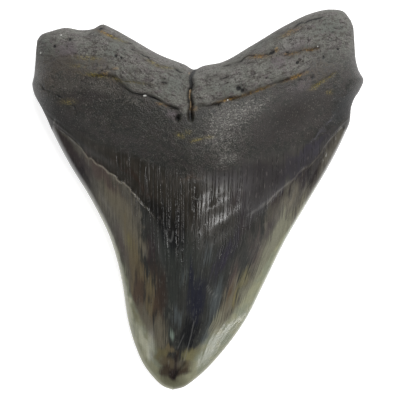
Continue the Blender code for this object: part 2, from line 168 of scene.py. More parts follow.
# Cracks, as (line, depth, half width, rise of the side that is left of the line)
CLEFT = [
    (-0.6, 40.6), (-0.9, 39.3), (-1.7, 37.8), (-2.1, 36.5), (-2.0, 35.5), (-1.9, 34.2), (-2.1, 33.2),
    (-2.4, 32.4), (-2.5, 31.2), (-2.3, 29.6), (-2.1, 27.8), (-2.3, 26.2), (-2.2, 24.4), (-2.0, 22.7),
]
CRACKS = [
    (LEDGE_LEFT[1:], 0.8, 0.42, 1.0),
    ([(-1.5, 27.9), *LEDGE_RIGHT[:-1]], 0.8, 0.42, 0.9),
    (CLEFT, 1.8, 0.62, 0.0),
    ([(-32.9, 51.4), (-31.0, 51.6), (-29.0, 51.0), (-26.8, 49.5), (-23.9, 48.4), (-21.4, 47.3),
      (-19.0, 46.8)], 0.6, 0.40, 0.5),
    ([(-20.9, 45.5), (-18.8, 44.5), (-16.4, 43.3), (-14.4, 42.5), (-13.4, 40.8), (-12.0, 40.0),
      (-9.7, 39.7), (-7.8, 39.4), (-5.7, 38.5), (-3.3, 37.8)], 0.5, 0.32, 0.4),
    ([(-23.6, 35.8), (-21.6, 35.2), (-18.3, 34.8), (-15.3, 34.4), (-13.4, 33.6)], 0.4, 0.35, 0.3),
    ([(6.5, 39.8), (8.4, 40.1), (10.3, 40.8), (12.0, 41.3), (13.8, 42.2), (15.4, 43.1), (17.0, 42.8),
      (18.8, 42.7), (20.6, 43.4), (22.9, 44.5), (24.2, 46.0)], 0.5, 0.34, 0.4),
    ([(24.9, 43.0), (27.5, 43.7), (29.5, 44.2), (32.4, 44.9), (34.9, 45.1), (36.3, 46.0)], 0.4, 0.34, 0.3),
    ([(15.7, 45.0), (17.1, 46.0), (20.9, 48.3), (24.2, 49.8), (27.5, 51.0), (31.1, 53.1), (34.9, 54.4),
      (38.7, 55.7)], 0.3, 0.38, 0.2),
    ([(33.7, 33.3), (34.2, 33.7), (36.2, 35.0), (37.2, 35.8), (38.8, 36.8), (40.0, 37.8), (41.5, 39.1)],
     0.4, 0.36, 0.2),
    ([(-50.0, 39.4), (-49.1, 37.5), (-47.2, 35.2), (-45.5, 33.2), (-43.8, 32.5)], 0.5, 0.34, 0.3),
    ([(-42.3, 32.1), (-40.8, 30.9), (-38.9, 29.8)], 0.4, 0.30, 0.2),
    ([(-38.0, 29.0), (-37.3, 28.4), (-36.5, 27.0), (-35.8, 25.8)], 0.5, 0.34, 0.0),
    ([(-19.7, 39.1), (-18.8, 38.2)], 0.3, 0.26, 0.0),
    ([(-11.1, 35.0), (-8.5, 34.3)], 0.3, 0.26, 0.0),
    ([(1.9, 36.2), (5.3, 36.7), (7.8, 36.1), (9.6, 36.4)], 0.3, 0.26, 0.0),
]
CRACK_POINTS = 6  # drawn for each given one
CRACK_NARROW = 0.75  # share of its width that a crack has, against the cleft's whole one
CRACK_THINNEST, CRACK_SWELL = 0.8, 0.4  # shares of that width where it is broken and whole
CRACK_UNBROKEN = 0.65  # how whole a crack is, before the clouds
CRACK_TAPER = 0.08  # share of the length over which either end runs out
CRACK_WALL = 0.35
CRACK_FADE = 3.5  # how far from a crack its two sides draw level again
CRACK_WANDER = 0.28  # how far a crack strays from its line
CLEFT_WANDER = 0.5  # the cleft's share of that
CLEFT_LEVELS, CLEFT_REACH = (0.74, 0.82), 5.0  # where columns are drawn to the cleft, and from how far
CRACK_SHADE_AND_SMUDGE_WIDTH = 1.3  # of the darkened surrounds of the cracks, partly smudges and partly painted shade
LEFT_NECK_LINE = [
    (-48.4, 29.3), (-46.5, 26.9), (-44.1, 25.0), (-41.8, 23.4), (-39.4, 21.5), (-37.1, 19.2), (-34.6, 16.7),
]

# Clouds that make things uneven, as layers of (height, share of x that counts, the same of y, size, seed)
UNEVEN = {
    "zone_edges": [(0.006, 1, 1, 3.0, 11), (0.004, 1, 1, 1.2, 12)],
    "crack_paths": [(1, 1, 1, 1.4, 21), (0.5, 1, 1, 0.6, 23)],
    "crack_breaks": [(0.5, 1, 1, 2.0, 22)],
    "pit_edges": [(0.25, 1, 1, 0.8, 31)],
    "root_lumps": [(0.16, 0.7, 1, 2.4, 41), (0.10, 0.7, 1, 1.2, 42), (0.07, 0.8, 1, 0.7, 43)],
    "root_pores": [(1, 0.7, 1, 0.9, 44)],
    "smooth_root": [(0.05, 1, 1, 1.4, 45), (0.035, 1, 1, 0.7, 46)],
    "labial_streaks": [(0.10, 1, 0.1, 1.6, 47)],
    "ridges": [(0.11, 1, 0.12, 1.5, 51), (0.05, 1, 0.2, 0.8, 52)],
    "faint_ridges": [(0.02, 1, 0.08, 1.3, 53)],
    "wave_paths": [(0.7, 1, 1, 4.0, 54)],
    "stains_across": [(0.5, 1, 0.12, 1.3, 61)],
    "stains_down": [(1.8, 1, 0.06, 1.5, 62)],
    "stains_along": [(1.2, 1, 1, 2.5, 63)],
    "root_stains_across": [(1.4, 1, 1, 2.6, 64)],
    "root_stains_along": [(1.2, 1, 1, 2.6, 65)],
    "enamel_edges": [(0.3, 1, 1, 0.9, 66)],
    "tip_stains_across": [(0.7, 1, 1, 1.6, 67)],
    "tip_stains_along": [(0.8, 1, 1, 1.6, 68)],
}

# Borders of the zones: how far they are drawn out, as shares of the length
LABIAL_BORDER = (LABIAL_NECK - 0.004, LABIAL_NECK + 0.006)
LEDGE_SOFT, LOBE_SOFT = 0.004, 0.05  # sharp along the ledge, and how much softer on the lobes
ROOT_MIDDLE, LOBES = -1, (26.0, 40.0)  # and how far from it the lobes begin and are reached
NECK_SOFT = 0.03
ENAMEL_MIDDLE = [(-7.4, -11.4), (-2.2, -13.2), (4.4, -11.8)]  # foot of the neck between the enamel's edges
FOOT_SOFT, KEEL_SOFT = 0.15, 8.0  # millimetres: sharp at the sides, and how much softer on the keel
KEEL, KEEL_WIDTH = 0.58, 0.17  # the keel's place and half width, as shares of the width

# Edges of the raised enamel, as (line, drop in millimetres, how clearly its painted highlight line shows)
ENAMEL_EDGES = [(ENAMEL_LEFT, 0.22, 1.0), (ENAMEL_RIGHT, 0.05, 0.4)]
ENAMEL_WALL, ENAMEL_FADE, ENAMEL_TAPER = 0.28, 5.0, 0.12
ENAMEL_LEVELS = (0.50, 0.58)  # levels between which the drop runs out
# Place, half width and taper of the pale line along each enamel edge, a painted highlight where its small
# step catches the light
HIGHLIGHT_LINE_PLACE, HIGHLIGHT_LINE_WIDTH, HIGHLIGHT_LINE_TAPER = 0.15, 0.17, 0.3

# Groove of the neck, the line in its left part and the filled foot of the right flank, in millimetres
NECK_GROOVE = [LEFT_NECK_LINE[0], *CHEVRONS[3][3], CHEVRONS[3][4], *CHEVRONS[3][5]]
GROOVE_DEPTH, GROOVE_WIDTH = 0.7, 4.0
GROOVE_LEFT, GROOVE_LEFT_LOSS = (-36.0, -22.0), 0.7  # where it deepens from the left, and what it lacks there
GROOVE_RIGHT, GROOVE_RIGHT_LOSS = (4.0, 14.0), 0.85
NECK_LINE_DEPTH, NECK_LINE_WIDTH = 0.25, 0.6
FOOT_RISE, FOOT_WIDTH, FOOT_TAPER = 0.55, 1.3, 0.2

# Ridges of the crown: where they begin, are full, start to fade and have faded, by level and by share
RIDGED_LEVELS = (0.33, 0.44, 0.64, 0.72)
RIDGED_SHARES, RIDGED_SHARES_LOSS = (0.20, 0.32, 0.58, 0.72), 0.8
FAINT_RIDGES_END = (0.40, 0.50)
PORE_DEPTH, PORE_WINDOW = 0.22, (0.35, 0.85)
SMOOTH_PORES = 0.25  # how deep the smooth root's pores are beside the root's

# The margin's rounding is sharper on the right: by what share, and from which share of the width to which
SHARPER, SHARPER_SHARES = 0.32, (0.35, 0.65)

# Pits, as (x, y, half width across, half width along, depth)
PITS = [
    (12, 33.1, 0.95, 0.8, 1.3), (13.1, 32.5, 0.75, 0.85, 1.2), (-5.9, 24.3, 0.52, 0.85, 1.5),
    (-38.3, 48.4, 0.45, 0.6, 0.8), (-42.9, 46.2, 0.45, 0.5, 0.8), (-29, 51.6, 0.75, 0.55, 0.9),
    (-24.3, 42.9, 0.45, 0.45, 0.6), (-22.6, 42.3, 0.45, 0.45, 0.6), (37.5, 42.8, 0.4, 0.75, 0.6),
    (34.1, 36.7, 0.5, 0.45, 0.7), (29.5, 41, 0.55, 0.5, 0.7), (30.3, 35.9, 0.5, 0.4, 0.7),
    (26.6, 44, 0.4, 0.4, 0.5), (20.2, 36.3, 0.35, 0.35, 0.5), (41.9, 45.4, 0.35, 0.35, 0.5),
]

# Marks, as (x, y, half width across, half width along, lean of the long side, strength). First the ochre
# infill of the cracks, the plugs in the cleft and the white specks
ORANGE = [
    (18.2, 42.7, 2.6, 0.55, 0, 1), (23.4, 44.8, 0.5, 0.7, 0, 0.8), (29, 36.8, 3, 0.5, 0.4, 1),
    (27.3, 43.6, 2.4, 0.45, 0.12, 0.7), (33.4, 45, 2.2, 0.45, 0.1, 0.6), (17, 32.3, 4, 0.45, 0.36, 0.7),
    (9, 29.9, 2.6, 0.42, 0.3, 0.9), (-10.3, 28.3, 1.8, 0.4, -0.25, 0.7),
    (-27.8, 50.1, 2.2, 0.5, -0.5, 0.9), (-24.2, 39, 0.7, 0.5, 0, 0.6), (-1.4, 27.2, 1, 0.8, 0, 0.6),
    (-27.4, 37.6, 1.2, 0.6, 0, 0.6), (28, 50.4, 2.2, 0.7, 0.5, 0.7),
]
YELLOW = [
    (-24.6, 48.6, 2.4, 0.5, -0.35, 0.8), (-30.5, 37.3, 3.4, 0.6, -0.15, 0.9),
    (-23.4, 35.6, 1.2, 0.5, -0.6, 0.8), (-12.8, 40.6, 2, 0.5, -0.5, 0.9),
    (-9.4, 39.6, 1.6, 0.4, -0.1, 0.6), (36, 34.8, 2, 0.65, 0.62, 1), (39.4, 32.5, 0.9, 0.7, 0, 0.8),
    (40, 37.4, 1.4, 0.5, 0.6, 0.7), (34.6, 33.6, 0.9, 0.6, 0.3, 0.8), (-38.9, 29.6, 2, 0.75, 0, 0.7),
    (-5.2, 19.2, 1.1, 0.6, -0.3, 0.9), (-2.9, 20.2, 0.8, 0.7, 0, 0.8), (0.2, 18.1, 1.4, 0.45, 0.2, 0.8),
    (3.4, 18.8, 1.2, 0.5, 0.1, 0.6), (-32.6, 42.4, 3.4, 0.7, -0.1, 0.6),
    (-36.2, 40.2, 2.4, 0.6, -0.1, 0.4), (-18, 34.8, 3, 0.4, -0.1, 0.4), (25.4, 49.4, 1.6, 0.5, 0.5, 0.5),
    (-1.6, 17.6, 1, 0.5, 0, 0.5),
]
TAN_PLUG = [
    (-2.6, 38, 0.4, 0.9, 0, 0.6), (-2.2, 32.4, 0.34, 0.8, 0, 1), (-2.4, 30.9, 0.3, 1.1, 0, 0.9),
    (-2.1, 28.6, 0.28, 1.4, 0, 0.9),
]
SPECKS = [
    (-15.6, 31, 0.7, 0.35, 0, 1), (-18, 31.9, 0.35, 0.3, 0, 0.8), (-41, 49.8, 0.4, 0.3, 0, 0.9),
    (-35.3, 50.7, 0.35, 0.3, 0, 0.8), (-47.5, 44.7, 0.35, 0.45, 0, 0.9), (35.7, 46, 0.45, 0.3, 0.5, 0.8),
    (-32, 26.5, 0.25, 0.4, 0, 0.7), (8.9, 29.7, 0.35, 0.3, 0, 0.9), (1.4, 24.9, 0.3, 0.3, 0, 0.8),
    (-10.4, -30.2, 0.28, 0.28, 0, 1), (0.5, -30, 0.26, 0.26, 0, 1), (33, 5.6, 0.35, 0.3, 0, 0.7),
    (12, -16, 0.3, 0.5, 0, 0.5), (13.6, -25.2, 0.28, 0.28, 0, 0.7), (-4.6, 24.9, 0.3, 0.3, 0, 0.6),
]

# Thin pale scratches and the hook on the crown, as (line, half width, strength)
SCRATCHES = [
    ([(-4.2, -40.7), (-6.1, -45.0)], 0.14, 0.6),
    ([(-1.2, -36.7), (-2.1, -41.3), (-4.2, -49.0)], 0.14, 0.7),
    ([(2.8, -25.6), (3.5, -27.5), (5.6, -29.0)], 0.22, 0.8),
    ([(-9.9, -8.7), (-8.9, -11.5), (-8.1, -12.3), (-7.7, -11.2), (-7.4, -9.2)], 0.20, 0.8),
    ([(-36.2, 17.5), (-34.9, 15.4), (-34.1, 13.7)], 0.22, 0.6),
]
DARK_LINES = [
    ([(-7.3, -54.5), (-6.5, -52.8), (-4.5, -50.5), (-3.9, -49.6)], 0.50, 0.7),
    ([(33.6, 10.5), (33.8, 7.5), (33.7, 4.6)], 0.40, 0.8),
    ([(-14.1, -47.2), (-14.0, -47.1)], 0.25, 0.8),
    (LEFT_NECK_LINE, 0.55, 0.6),
]

# Stains, as name: (tone, marks), later ones over earlier ones: on the crown and the neck, then round the
# tip over the pale rims, then on the root and the smooth root. A few of them hold painted highlights and
# painted shade, as noted where they stand
STAINS = {
    "slate": ((54, 57, 54), [
        (-8.8, -15.5, 3.6, 8, 0, 0.9), (-3.6, -20, 4, 8, 0, 0.8), (-4, -12, 6, 5, 0, 0.5),
        (-8.5, -30, 2.2, 6, 0, 0.9),
    ]),
    "mist": ((78, 83, 84), [
        (5.3, -30.2, 1.6, 8.5, 0.15, 0.9), (2.8, -42, 1.6, 4.5, 0.3, 0.8), (-6.3, -35, 2, 3.6, 0.1, 0.8),
        (3, -17.5, 2.6, 5, 0.2, 0.55), (2.4, -44.7, 1.9, 3.4, 0.3, 0.9), (20, -2, 2.6, 3.6, 0.3, 0.5),
        (-4.2, -23, 2, 4, 0, 0.5), (8.5, -41, 1.6, 5, 0.6, 0.6),
    ]),
    "pink_brown": ((84, 73, 69), [
        (-28.8, 8.2, 3, 5.6, -0.75, 1), (17.2, -15, 3.2, 8, 0.1, 0.5), (-24.5, 2.5, 2.6, 3.5, -0.6, 0.6),
        (-23, -13.5, 1.5, 7, -0.3, 0.8), (10.5, -23, 1.3, 6, 0.2, 0.8), (25, 20, 5, 4, 0, 0.4),
    ]),
    "plum": ((54, 46, 48), [
        (-36.8, 12.5, 2.4, 8, -0.6, 1), (-37.5, 14, 1.8, 5, -0.6, 0.9), (34, 8, 3, 5, 0.5, 0.5),
        (24, 3, 3, 6, 0.6, 0.6), (12, 1, 4, 7, 0.2, 0.6), (-14.6, -14.5, 2.4, 8, 0, 0.7),
        (21.9, -9, 1.9, 6.5, 0.1, 0.8), (28.5, 11, 5, 4.5, 0, 0.5), (31.7, 6, 1.8, 3, 0, 0.7),
        (18, 8, 5, 6, 0, 0.5), (13.5, -8, 1.6, 6, 0.1, 0.7), (-40.5, 19, 1.6, 5, -0.6, 0.9),
    ]),
    "olive_grey": ((112, 106, 91), [
        (-11.4, -36.6, 1.6, 3.6, -0.1, 0.75), (-20.6, -11.6, 2.4, 4.5, -0.2, 0.7),
        (-16.5, -37.5, 3.4, 7, -0.25, 1), (9, -31.5, 2.4, 8, 0.3, 0.9), (6.2, -39, 2, 4, 0.4, 0.8),
        (-21.8, -5, 3, 7, -0.3, 0.8), (-28, -1, 3, 4, -0.6, 0.6), (-25.5, 1.5, 3, 5, -0.6, 0.7),
        (-17.2, -14.5, 2.6, 4.5, 0, 0.5), (30.5, -3, 3, 4.5, 0.6, 0.6), (28.4, 1.2, 1.6, 4, 0.6, 0.9),
        (-11.2, -41.5, 2.2, 4, -0.1, 0.7), (-12, -44, 2, 2, 0, 0.8),
    ]),
    "pale": ((126, 125, 106), [
        (32, -3.4, 1.6, 3.5, 0.55, 0.9), (24.8, -9.5, 3, 7.5, 0.55, 1), (15.6, -29.5, 3.2, 9.5, 0.4, 1),
        (21, -18.5, 2.4, 6, 0.5, 0.9), (-22, -21, 1, 6, -0.2, 0.4), (6.4, -36, 2, 4.5, 0.3, 0.55),
        (4.2, -41, 1.6, 3.4, 0.3, 0.5),
    ]),
    "rust": ((84, 69, 56), [
        (-18.2, -28, 2.4, 8, 0, 0.9), (9.8, -28, 0.7, 3.5, 0.2, 0.8), (-1, 6.8, 5.2, 1.2, 0.1, 0.7),
        (-13, -31, 2.4, 5, 0, 0.8), (-19.5, -20.5, 2, 3, 0, 0.6),
    ]),
    "umber": ((60, 51, 46), [
        (-11.2, -27, 2.3, 7.5, 0, 0.85), (-18.3, 6, 1.2, 8.5, -0.95, 0.7), (-13.5, -19.5, 2, 3.5, 0, 0.5),
    ]),
    "tan": ((106, 96, 74), [
        (-19.6, -16.1, 2, 6, -0.12, 1), (-21.8, -4.8, 0.9, 4, 0, 0.5), (-9.4, -46.6, 3.6, 1.6, 0.1, 0.9),
        (10.8, -31.6, 0.9, 3.6, 0.1, 0.8), (-14.6, -26.5, 1.7, 5, 0, 1), (-15.2, -32.8, 1.5, 2.4, 0, 0.8),
        (-19.9, -25, 0.8, 5, 0, 0.7), (-17.6, -23, 1.2, 2.5, 0, 0.6),
    ]),
    "gold": ((114, 108, 78), [
        (-14.3, -26, 0.8, 3, 0, 0.4), (12.6, -27.5, 0.7, 4.5, 0.25, 0.8), (-2.6, -47.6, 3, 2, 0.2, 0.9),
        (10.6, -32.5, 0.6, 3, 0.2, 0.8), (-20.6, -13, 1.1, 3.4, -0.1, 0.7), (14.5, -24, 0.6, 4, 0.3, 0.6),
    ]),
    "violet": ((46, 42, 54), [
        (8.2, -16.5, 1.9, 9, 0.48, 0.8), (33, 14, 2.5, 7.5, 0.95, 1), (27.5, 8, 2.6, 3.6, 0.9, 0.8),
        (38, 20, 2, 4, 0.7, 0.9), (31, 11, 3, 4, 0.9, 0.9),
    ]),
    "navy": ((34, 35, 47), [
        (-0.6, -31, 2.8, 8.5, 0.05, 1), (-2.1, -23.4, 0.9, 4.5, 0, 0.9), (3, -25, 1, 4, 0.4, 0.3),
    ]),
    # Painted highlight: a pale greenish spot that stands in for a gloss highlight
    "frost": ((128, 142, 130), [(-8.1, -41.6, 0.9, 2.3, 0, 0.8)]),
    "black": ((26, 27, 30), [
        (-6.6, -8, 2.6, 4.5, 0, 1), (-2.3, -41, 3.4, 5.2, 0.25, 1), (-9.4, -6, 3.2, 6.5, -0.2, 1),
        (-12.9, -2.4, 2, 4.6, -0.8, 0.9), (-6, -12, 2.5, 4, 0, 0.6),
    ]),
    # Dark stains, partly painted shade where the neck and the crown's right shoulder turn away from the lamps
    # and along the left margin
    "night": ((38, 34, 36), [
        (17.4, -1, 3.4, 7, 0.25, 1), (14.5, -3.6, 3, 3.5, 0.3, 0.9), (5.5, 7.6, 5, 2.2, 0.1, 0.8),
        (33, 11, 3.5, 4, 0.8, 0.5), (-36.6, 6.6, 1.8, 3.4, -0.6, 0.9), (14, 5, 4, 5, 0.2, 0.5),
        (21, 8, 8, 5, 0.4, 0.8), (10, 8, 8, 2.6, 0.2, 0.8), (26, 7.5, 4.5, 4, 0.5, 0.7),
        (34, 8, 2.2, 8, 0.55, 0.8), (38.5, 17, 2, 6, 0.55, 0.7), (-35.2, 8, 1.4, 7, -0.55, 0.9),
    ]),
}
TIP_STAINS = {
    "buff": ((104, 98, 72), [(-10.9, -46.6, 2, 1.8, 0.1, 0.9), (-12.6, -47.8, 1.4, 2.2, 0, 0.6)]),
    "amber": ((116, 112, 82), [
        (-3.2, -47.6, 2.4, 2.2, 0.2, 0.9), (0.6, -45.6, 2, 2.6, 0.5, 0.5),
        (-19, -34.6, 1, 3.4, -0.25, 0.6),
    ]),
    "chalk": ((182, 182, 160), [(-17, -43.6, 1.8, 5.4, -0.3, 0.9), (-21, -33, 0.9, 7, -0.2, 0.8)]),
    "bark": ((88, 79, 63), [(-9.4, -49.4, 3.2, 2.4, 0, 0.9), (-3.8, -50.9, 2.6, 2.2, 0.5, 0.8)]),
    "burnt": ((58, 47, 40), [
        (-8.9, -52.6, 3.1, 2.4, 0, 1), (-8.2, -54.9, 2.1, 2.2, 0, 1), (-4.6, -52.4, 2.2, 1.6, 0.4, 0.8),
    ]),
    "stone": ((108, 107, 87), [(-7.6, -56.4, 5.5, 2.6, 0, 1)]),
    "char": ((44, 37, 36), [
        (-6.5, -48.4, 0.8, 4.2, 0.05, 0.8), (-8.4, -53.4, 1.4, 1.6, 0, 0.7),
        (-6.9, -53.2, 1.2, 2.2, 0.3, 0.9),
    ]),
}
ROOT_STAINS = {
    # Darker smooth root, partly painted shade along the foot of the ledge's crack
    "soot": ((46, 46, 42), [
        (-17, 25, 8, 4.2, -0.42, 1), (-27, 30.5, 6, 2.6, -0.3, 0.7), (13.5, 30.6, 6, 1.6, 0.35, 1),
        (-2, 21.5, 4.5, 4, 0, 1), (2, 25.6, 3.4, 2, 0.2, 0.8), (3, 16.4, 5, 2.4, 0.2, 0.6),
    ]),
    "moss": ((98, 102, 96), [
        (-7, 35, 5, 4, 0, 0.7), (9, 34, 6, 3.5, 0, 0.6), (40, 52, 6, 4, 0, 0.7), (18, 47, 4, 2, 0.5, 0.6),
        (-24, 45, 4, 3, 0, 0.5), (-46, 47, 3, 5, 0, 0.5),
    ]),
    "ash": ((84, 80, 74), [
        (-38, 35, 5, 3, -0.3, 0.9), (-28, 33.5, 6, 2.8, -0.3, 0.9), (-19, 29.4, 4, 1.6, -0.3, 0.5),
        (-44, 34, 3, 4, 0, 0.7), (6, 16, 5, 3, 0.2, 0.5),
    ]),
    "plum_grey": ((98, 89, 93), [
        (-39.5, 45.3, 3.4, 3, 0, 0.8), (28.6, 46, 4, 2.5, 0.3, 0.7), (24, 41.5, 3.5, 2, 0.2, 0.7),
        (-15, 46, 6, 1.6, -0.45, 0.7), (31, 34, 5, 2.5, 0.3, 0.6), (-7.5, 26, 2.6, 1.6, 0, 0.5),
    ]),
    "earth": ((80, 72, 64), [
        (-39.5, 41, 7, 3.6, -0.2, 0.9), (-28, 40, 5, 2, -0.2, 0.5), (36, 37.5, 6, 4, 0.3, 0.6),
        (-46.5, 37, 3, 5, 0, 0.7),
    ]),
    "clay": ((104, 94, 80), [(-26.5, 37, 4, 1.6, -0.3, 0.7)]),
    # Painted sheen: a paler colour where the lamp's sheen lies on the smooth root; its lower roughness is
    # real
    "sheen": ((84, 82, 78), [
        (8, 22.5, 6, 6.5, 0.4, 0.8), (14, 27, 7, 2.2, 0.35, 0.8), (9, 13, 3, 2.2, 0.2, 0.8),
    ]),
    "bone": ((122, 121, 116), [
        (8, 37, 7, 3.4, 0.1, 0.7), (-7, 41, 3.6, 2.4, 0, 0.5), (-17, 46.6, 4, 2, -0.4, 0.6),
        (27, 46.5, 6, 2.6, 0.4, 0.6), (-26, 37.5, 3, 1.8, 0, 0.5), (33, 55.5, 5, 1.6, 0.2, 0.7),
    ]),
    "loam": ((50, 45, 43), [
        (30, 26, 10, 6.5, 0.4, 1), (36, 31, 5, 3, 0.5, 0.7), (22, 20, 7, 4, 0.4, 0.7),
        (-31, 31.8, 4, 2.6, -0.3, 0.9),
    ]),
    "quartz": ((106, 103, 112), [
        (36.2, 19.6, 0.6, 2.6, 0.8, 0.9), (40.6, 23.8, 0.5, 2.2, 0.8, 0.9),
        (33.6, 17, 0.4, 1.6, 0.8, 0.7),
    ]),
    "notch": ((60, 62, 64), [(45, 29.5, 3, 4.5, 0, 0.9), (42.5, 25.5, 3, 4, 0.6, 0.7)]),
    "dusk": ((42, 40, 39), [
        (-46, 27, 3, 3.6, -0.8, 0.8), (-41, 22.5, 3, 3.6, -0.8, 0.8), (10, 12, 8, 2, 0.3, 0.2),
        (24, 24, 7, 3, 0.4, 0.5), (20, 13.5, 9, 2.4, 0.4, 0.5), (46, 29, 2.5, 4.5, 0, 0.7),
        (38.5, 20.5, 4.5, 4, 0.6, 0.8), (33, 31, 5, 2.4, 0.6, 0.5), (-43, 27.5, 4, 2.6, -0.8, 0.6),
        (-36, 23, 4, 2.6, -0.5, 0.6),
    ]),
}

# Streaked parts of the neck beside the crown's ridges, and places that are less glossy, as marks
STREAKED = [(22, 9, 12, 8, 0.5, 0.8), (31, 14, 8, 6, 0.8, 0.9), (-22, 8, 8, 5, -0.6, 0.6)]
MATT = [
    (20, 10.5, 8, 5, 0.4, 1), (10, 9, 6, 3, 0.3, 0.6), (32, 14, 6, 5, 0.6, 0.8),
    (-43, 24, 5, 6, -0.6, 0.5), (43, 28, 4, 7, 0.3, 0.7), (-35, 19, 7, 4, -0.6, 0.8),
    (37, 20, 6, 4, 0.6, 0.9), (18, 0.5, 3.4, 7, 0.3, 1), (8, 9.5, 8, 2, 0.2, 0.7),
    (28, 25.5, 9, 5, 0.4, 0.8), (24, 7, 5, 6, 0.4, 0.9),
]

# Widths in millimetres of the paler flank and of the pale rim along the left and right margin of the crown,
# at heights, and the shares of a width over which its border fades
RIM_HEIGHTS = [-58.0, -50.0, -43.0, -36.0, -28.0, -18.0, -8.0, 2.0, 12.0, 22.0, 30.0]
FLANK = (
    [9.0, 8.0, 5.5, 3.8, 3.4, 6.0, 11.0, 13.0, 14.0, 14.0, 14.0],
    [9.0, 8.0, 7.0, 5.6, 6.0, 6.0, 8.0, 12.5, 14.0, 14.0, 14.0],
)
RIM = (
    [5.5, 7.4, 7.2, 4.8, 2.6, 1.8, 1.2, 0.5, 0.1, 0.1, 0.1],
    [5.5, 6.8, 7.6, 5.6, 3.8, 2.6, 1.0, 0.6, 0.3, 0.2, 0.1],
)
FLANK_BORDER, RIM_BORDER = (0.82, 1.18), (0.45, 1.25)
MIDDLE_LINE = ([TIP[1], 0.0, 40.0], [TIP[0], -2.0, -2.0])  # heights, and where left meets right there

# Bright line on the very edge of the crown, partly the thin enamel's paler colour and partly a painted
# reflection of the white floor: strength left and right, where it starts to fade and has faded
BRIGHT_EDGE, BRIGHT_EDGE_WIDTH = (0.8, 0.2), 0.9
BRIGHT_EDGE_FADES, BRIGHT_EDGE_END = (-14.0, -2.0), 12.0
POLISH_END = (0.20, 0.34)  # levels over which the tip's polish fades

# Streaks run straight left of STREAKS_START. Right of it they are drawn together, by factors at heights
STREAKS_START = -8
STREAK_HEIGHTS = [TIP[1], -50.0, -37.0, -13.0, 7.0, 25.0]
STREAK_NARROWING = [2.9, 2.3, 1.45, 1.06, 1.0, 1.0]

# Marks that only the lingual face has, besides the root's stains
LINGUAL_MARKS = (
    "crack", "pit", "orange", "yellow", "tan_plug", "speck", "scratch", "dark_line", "enamel_edge",
)

# Noises of the finish, as name: (the places it follows, how far they are stretched, how often it turns in a
# millimetre, its finer layers, their share)
PATTERNS = {
    "streak": ("streak", (1.0, 0.07, 0.0), 0.8, 3.0, 0.6),
    "fine_streak": ("streak", (1.0, 0.07, 0.0), 2.2, 2.0, 0.6),
    "blotch": ("streak", (1.0, 0.6, 0.0), 0.5, 4.0, 0.65),
    "groove": ("streak", (1.0, 0.035, 0.0), 0.75, 0.0, 0.5),
    "hair": ("streak", (1.0, 0.03, 0.0), 3.6, 2.0, 0.7),
    "dash": ("streak", (1.0, 0.14, 0.0), 2.0, 2.0, 0.7),
    "scaly": ("rows", (0.45, 1.3, 0.0), 0.9, 4.0, 0.65),
    "split": ("rows", (0.22, 0.8, 0.0), 0.8, 3.0, 0.6),
    "flake": ("rows", (0.6, 1.4, 0.0), 1.5, 4.0, 0.7),
    "patch": ("place", None, 0.22, 2.0, 0.5),
    "hue": ("place", None, 0.35, 2.0, 0.5),
    "mottle": ("place", None, 0.8, 3.0, 0.6),
    "speckle": ("place", None, 2.4, 2.0, 0.7),
    "rough": ("place", None, 1.5, 4.0, 0.65),
}
PORE_SCALE = 0.62  # pores in a millimetre

# Roughness of the satin zones and of the enamel, and what marks add to or take from the satin
SATIN, SATIN_MOTTLE = 0.35, 0.10
ENAMEL, POLISH = 0.21, 0.06
ROUGHER = {"root": 0.36, "orange": 0.2, "matt": 0.5, "sheen": -0.08, "ridged": -0.09}

# Heights of the fine grain in millimetres: what each zone has of each pattern
FINE_GRAIN = {
    "root": {"rough": 0.22, "scaly": 0.30, "pore": -0.14, "split": -0.15, "grit": 0.03},
    "smooth_root": {"rough": 0.26, "speckle": 0.22, "grit": 0.03},
    "ridged": {"fine_streak": 0.09, "groove": -0.16},
}
STREAK_HEIGHT = 0.008  # outside the root
MILLIMETRE = 0.001

# Stage
FLOOR_SIZE = 3.0
CAMERA_LENS = 135.0
CAMERA_SENSOR = 36.0
FIELD = 0.1228  # width of the view where the tooth's outline lies
OUTLINE_PLANE = 0.006
VIEW_CENTRE = (0.00065, 0.0003)
LIT = 1.40  # how brightly the studio lights a level face, against one that shows its own colour
VEIL, CROWN_VEIL = 0.012, 0.002  # the faint light given back without colour, less by the polished crown
DARKEST = 0.002  # no tone is darker than this
FLOOR_GLOW = 0.85
WALL_TOP, CEILING_FOOT = 0.15, 0.62  # sines of the heights between which the walls' light fades
WALL_GLOW, CEILING_GLOW = 0.50, 0.06
KEY_SUN = (62.0, 48.0, 3.6, 40.0)  # azimuth and elevation in degrees, strength, width in degrees

# Softboxes, as name: (place, what it is turned to, size, roll and spread in degrees, watts)
SOFTBOXES = {
    "sheen": ((0.097, -0.062, 0.276), (0.006, 0.008, 0.020), (0.060, 0.060), 0.0, 180.0, 0.38),
    "gloss": ((0.092, -0.133, 0.041), (0.0065, -0.0425, 0.0055), (0.076, 0.006), -34.0, 70.0, 0.0022),
    "left": ((-0.111, -0.124, 0.068), (-0.014, -0.0468, 0.0055), (0.016, 0.005), 50.0, 30.0, 0.00004),
}


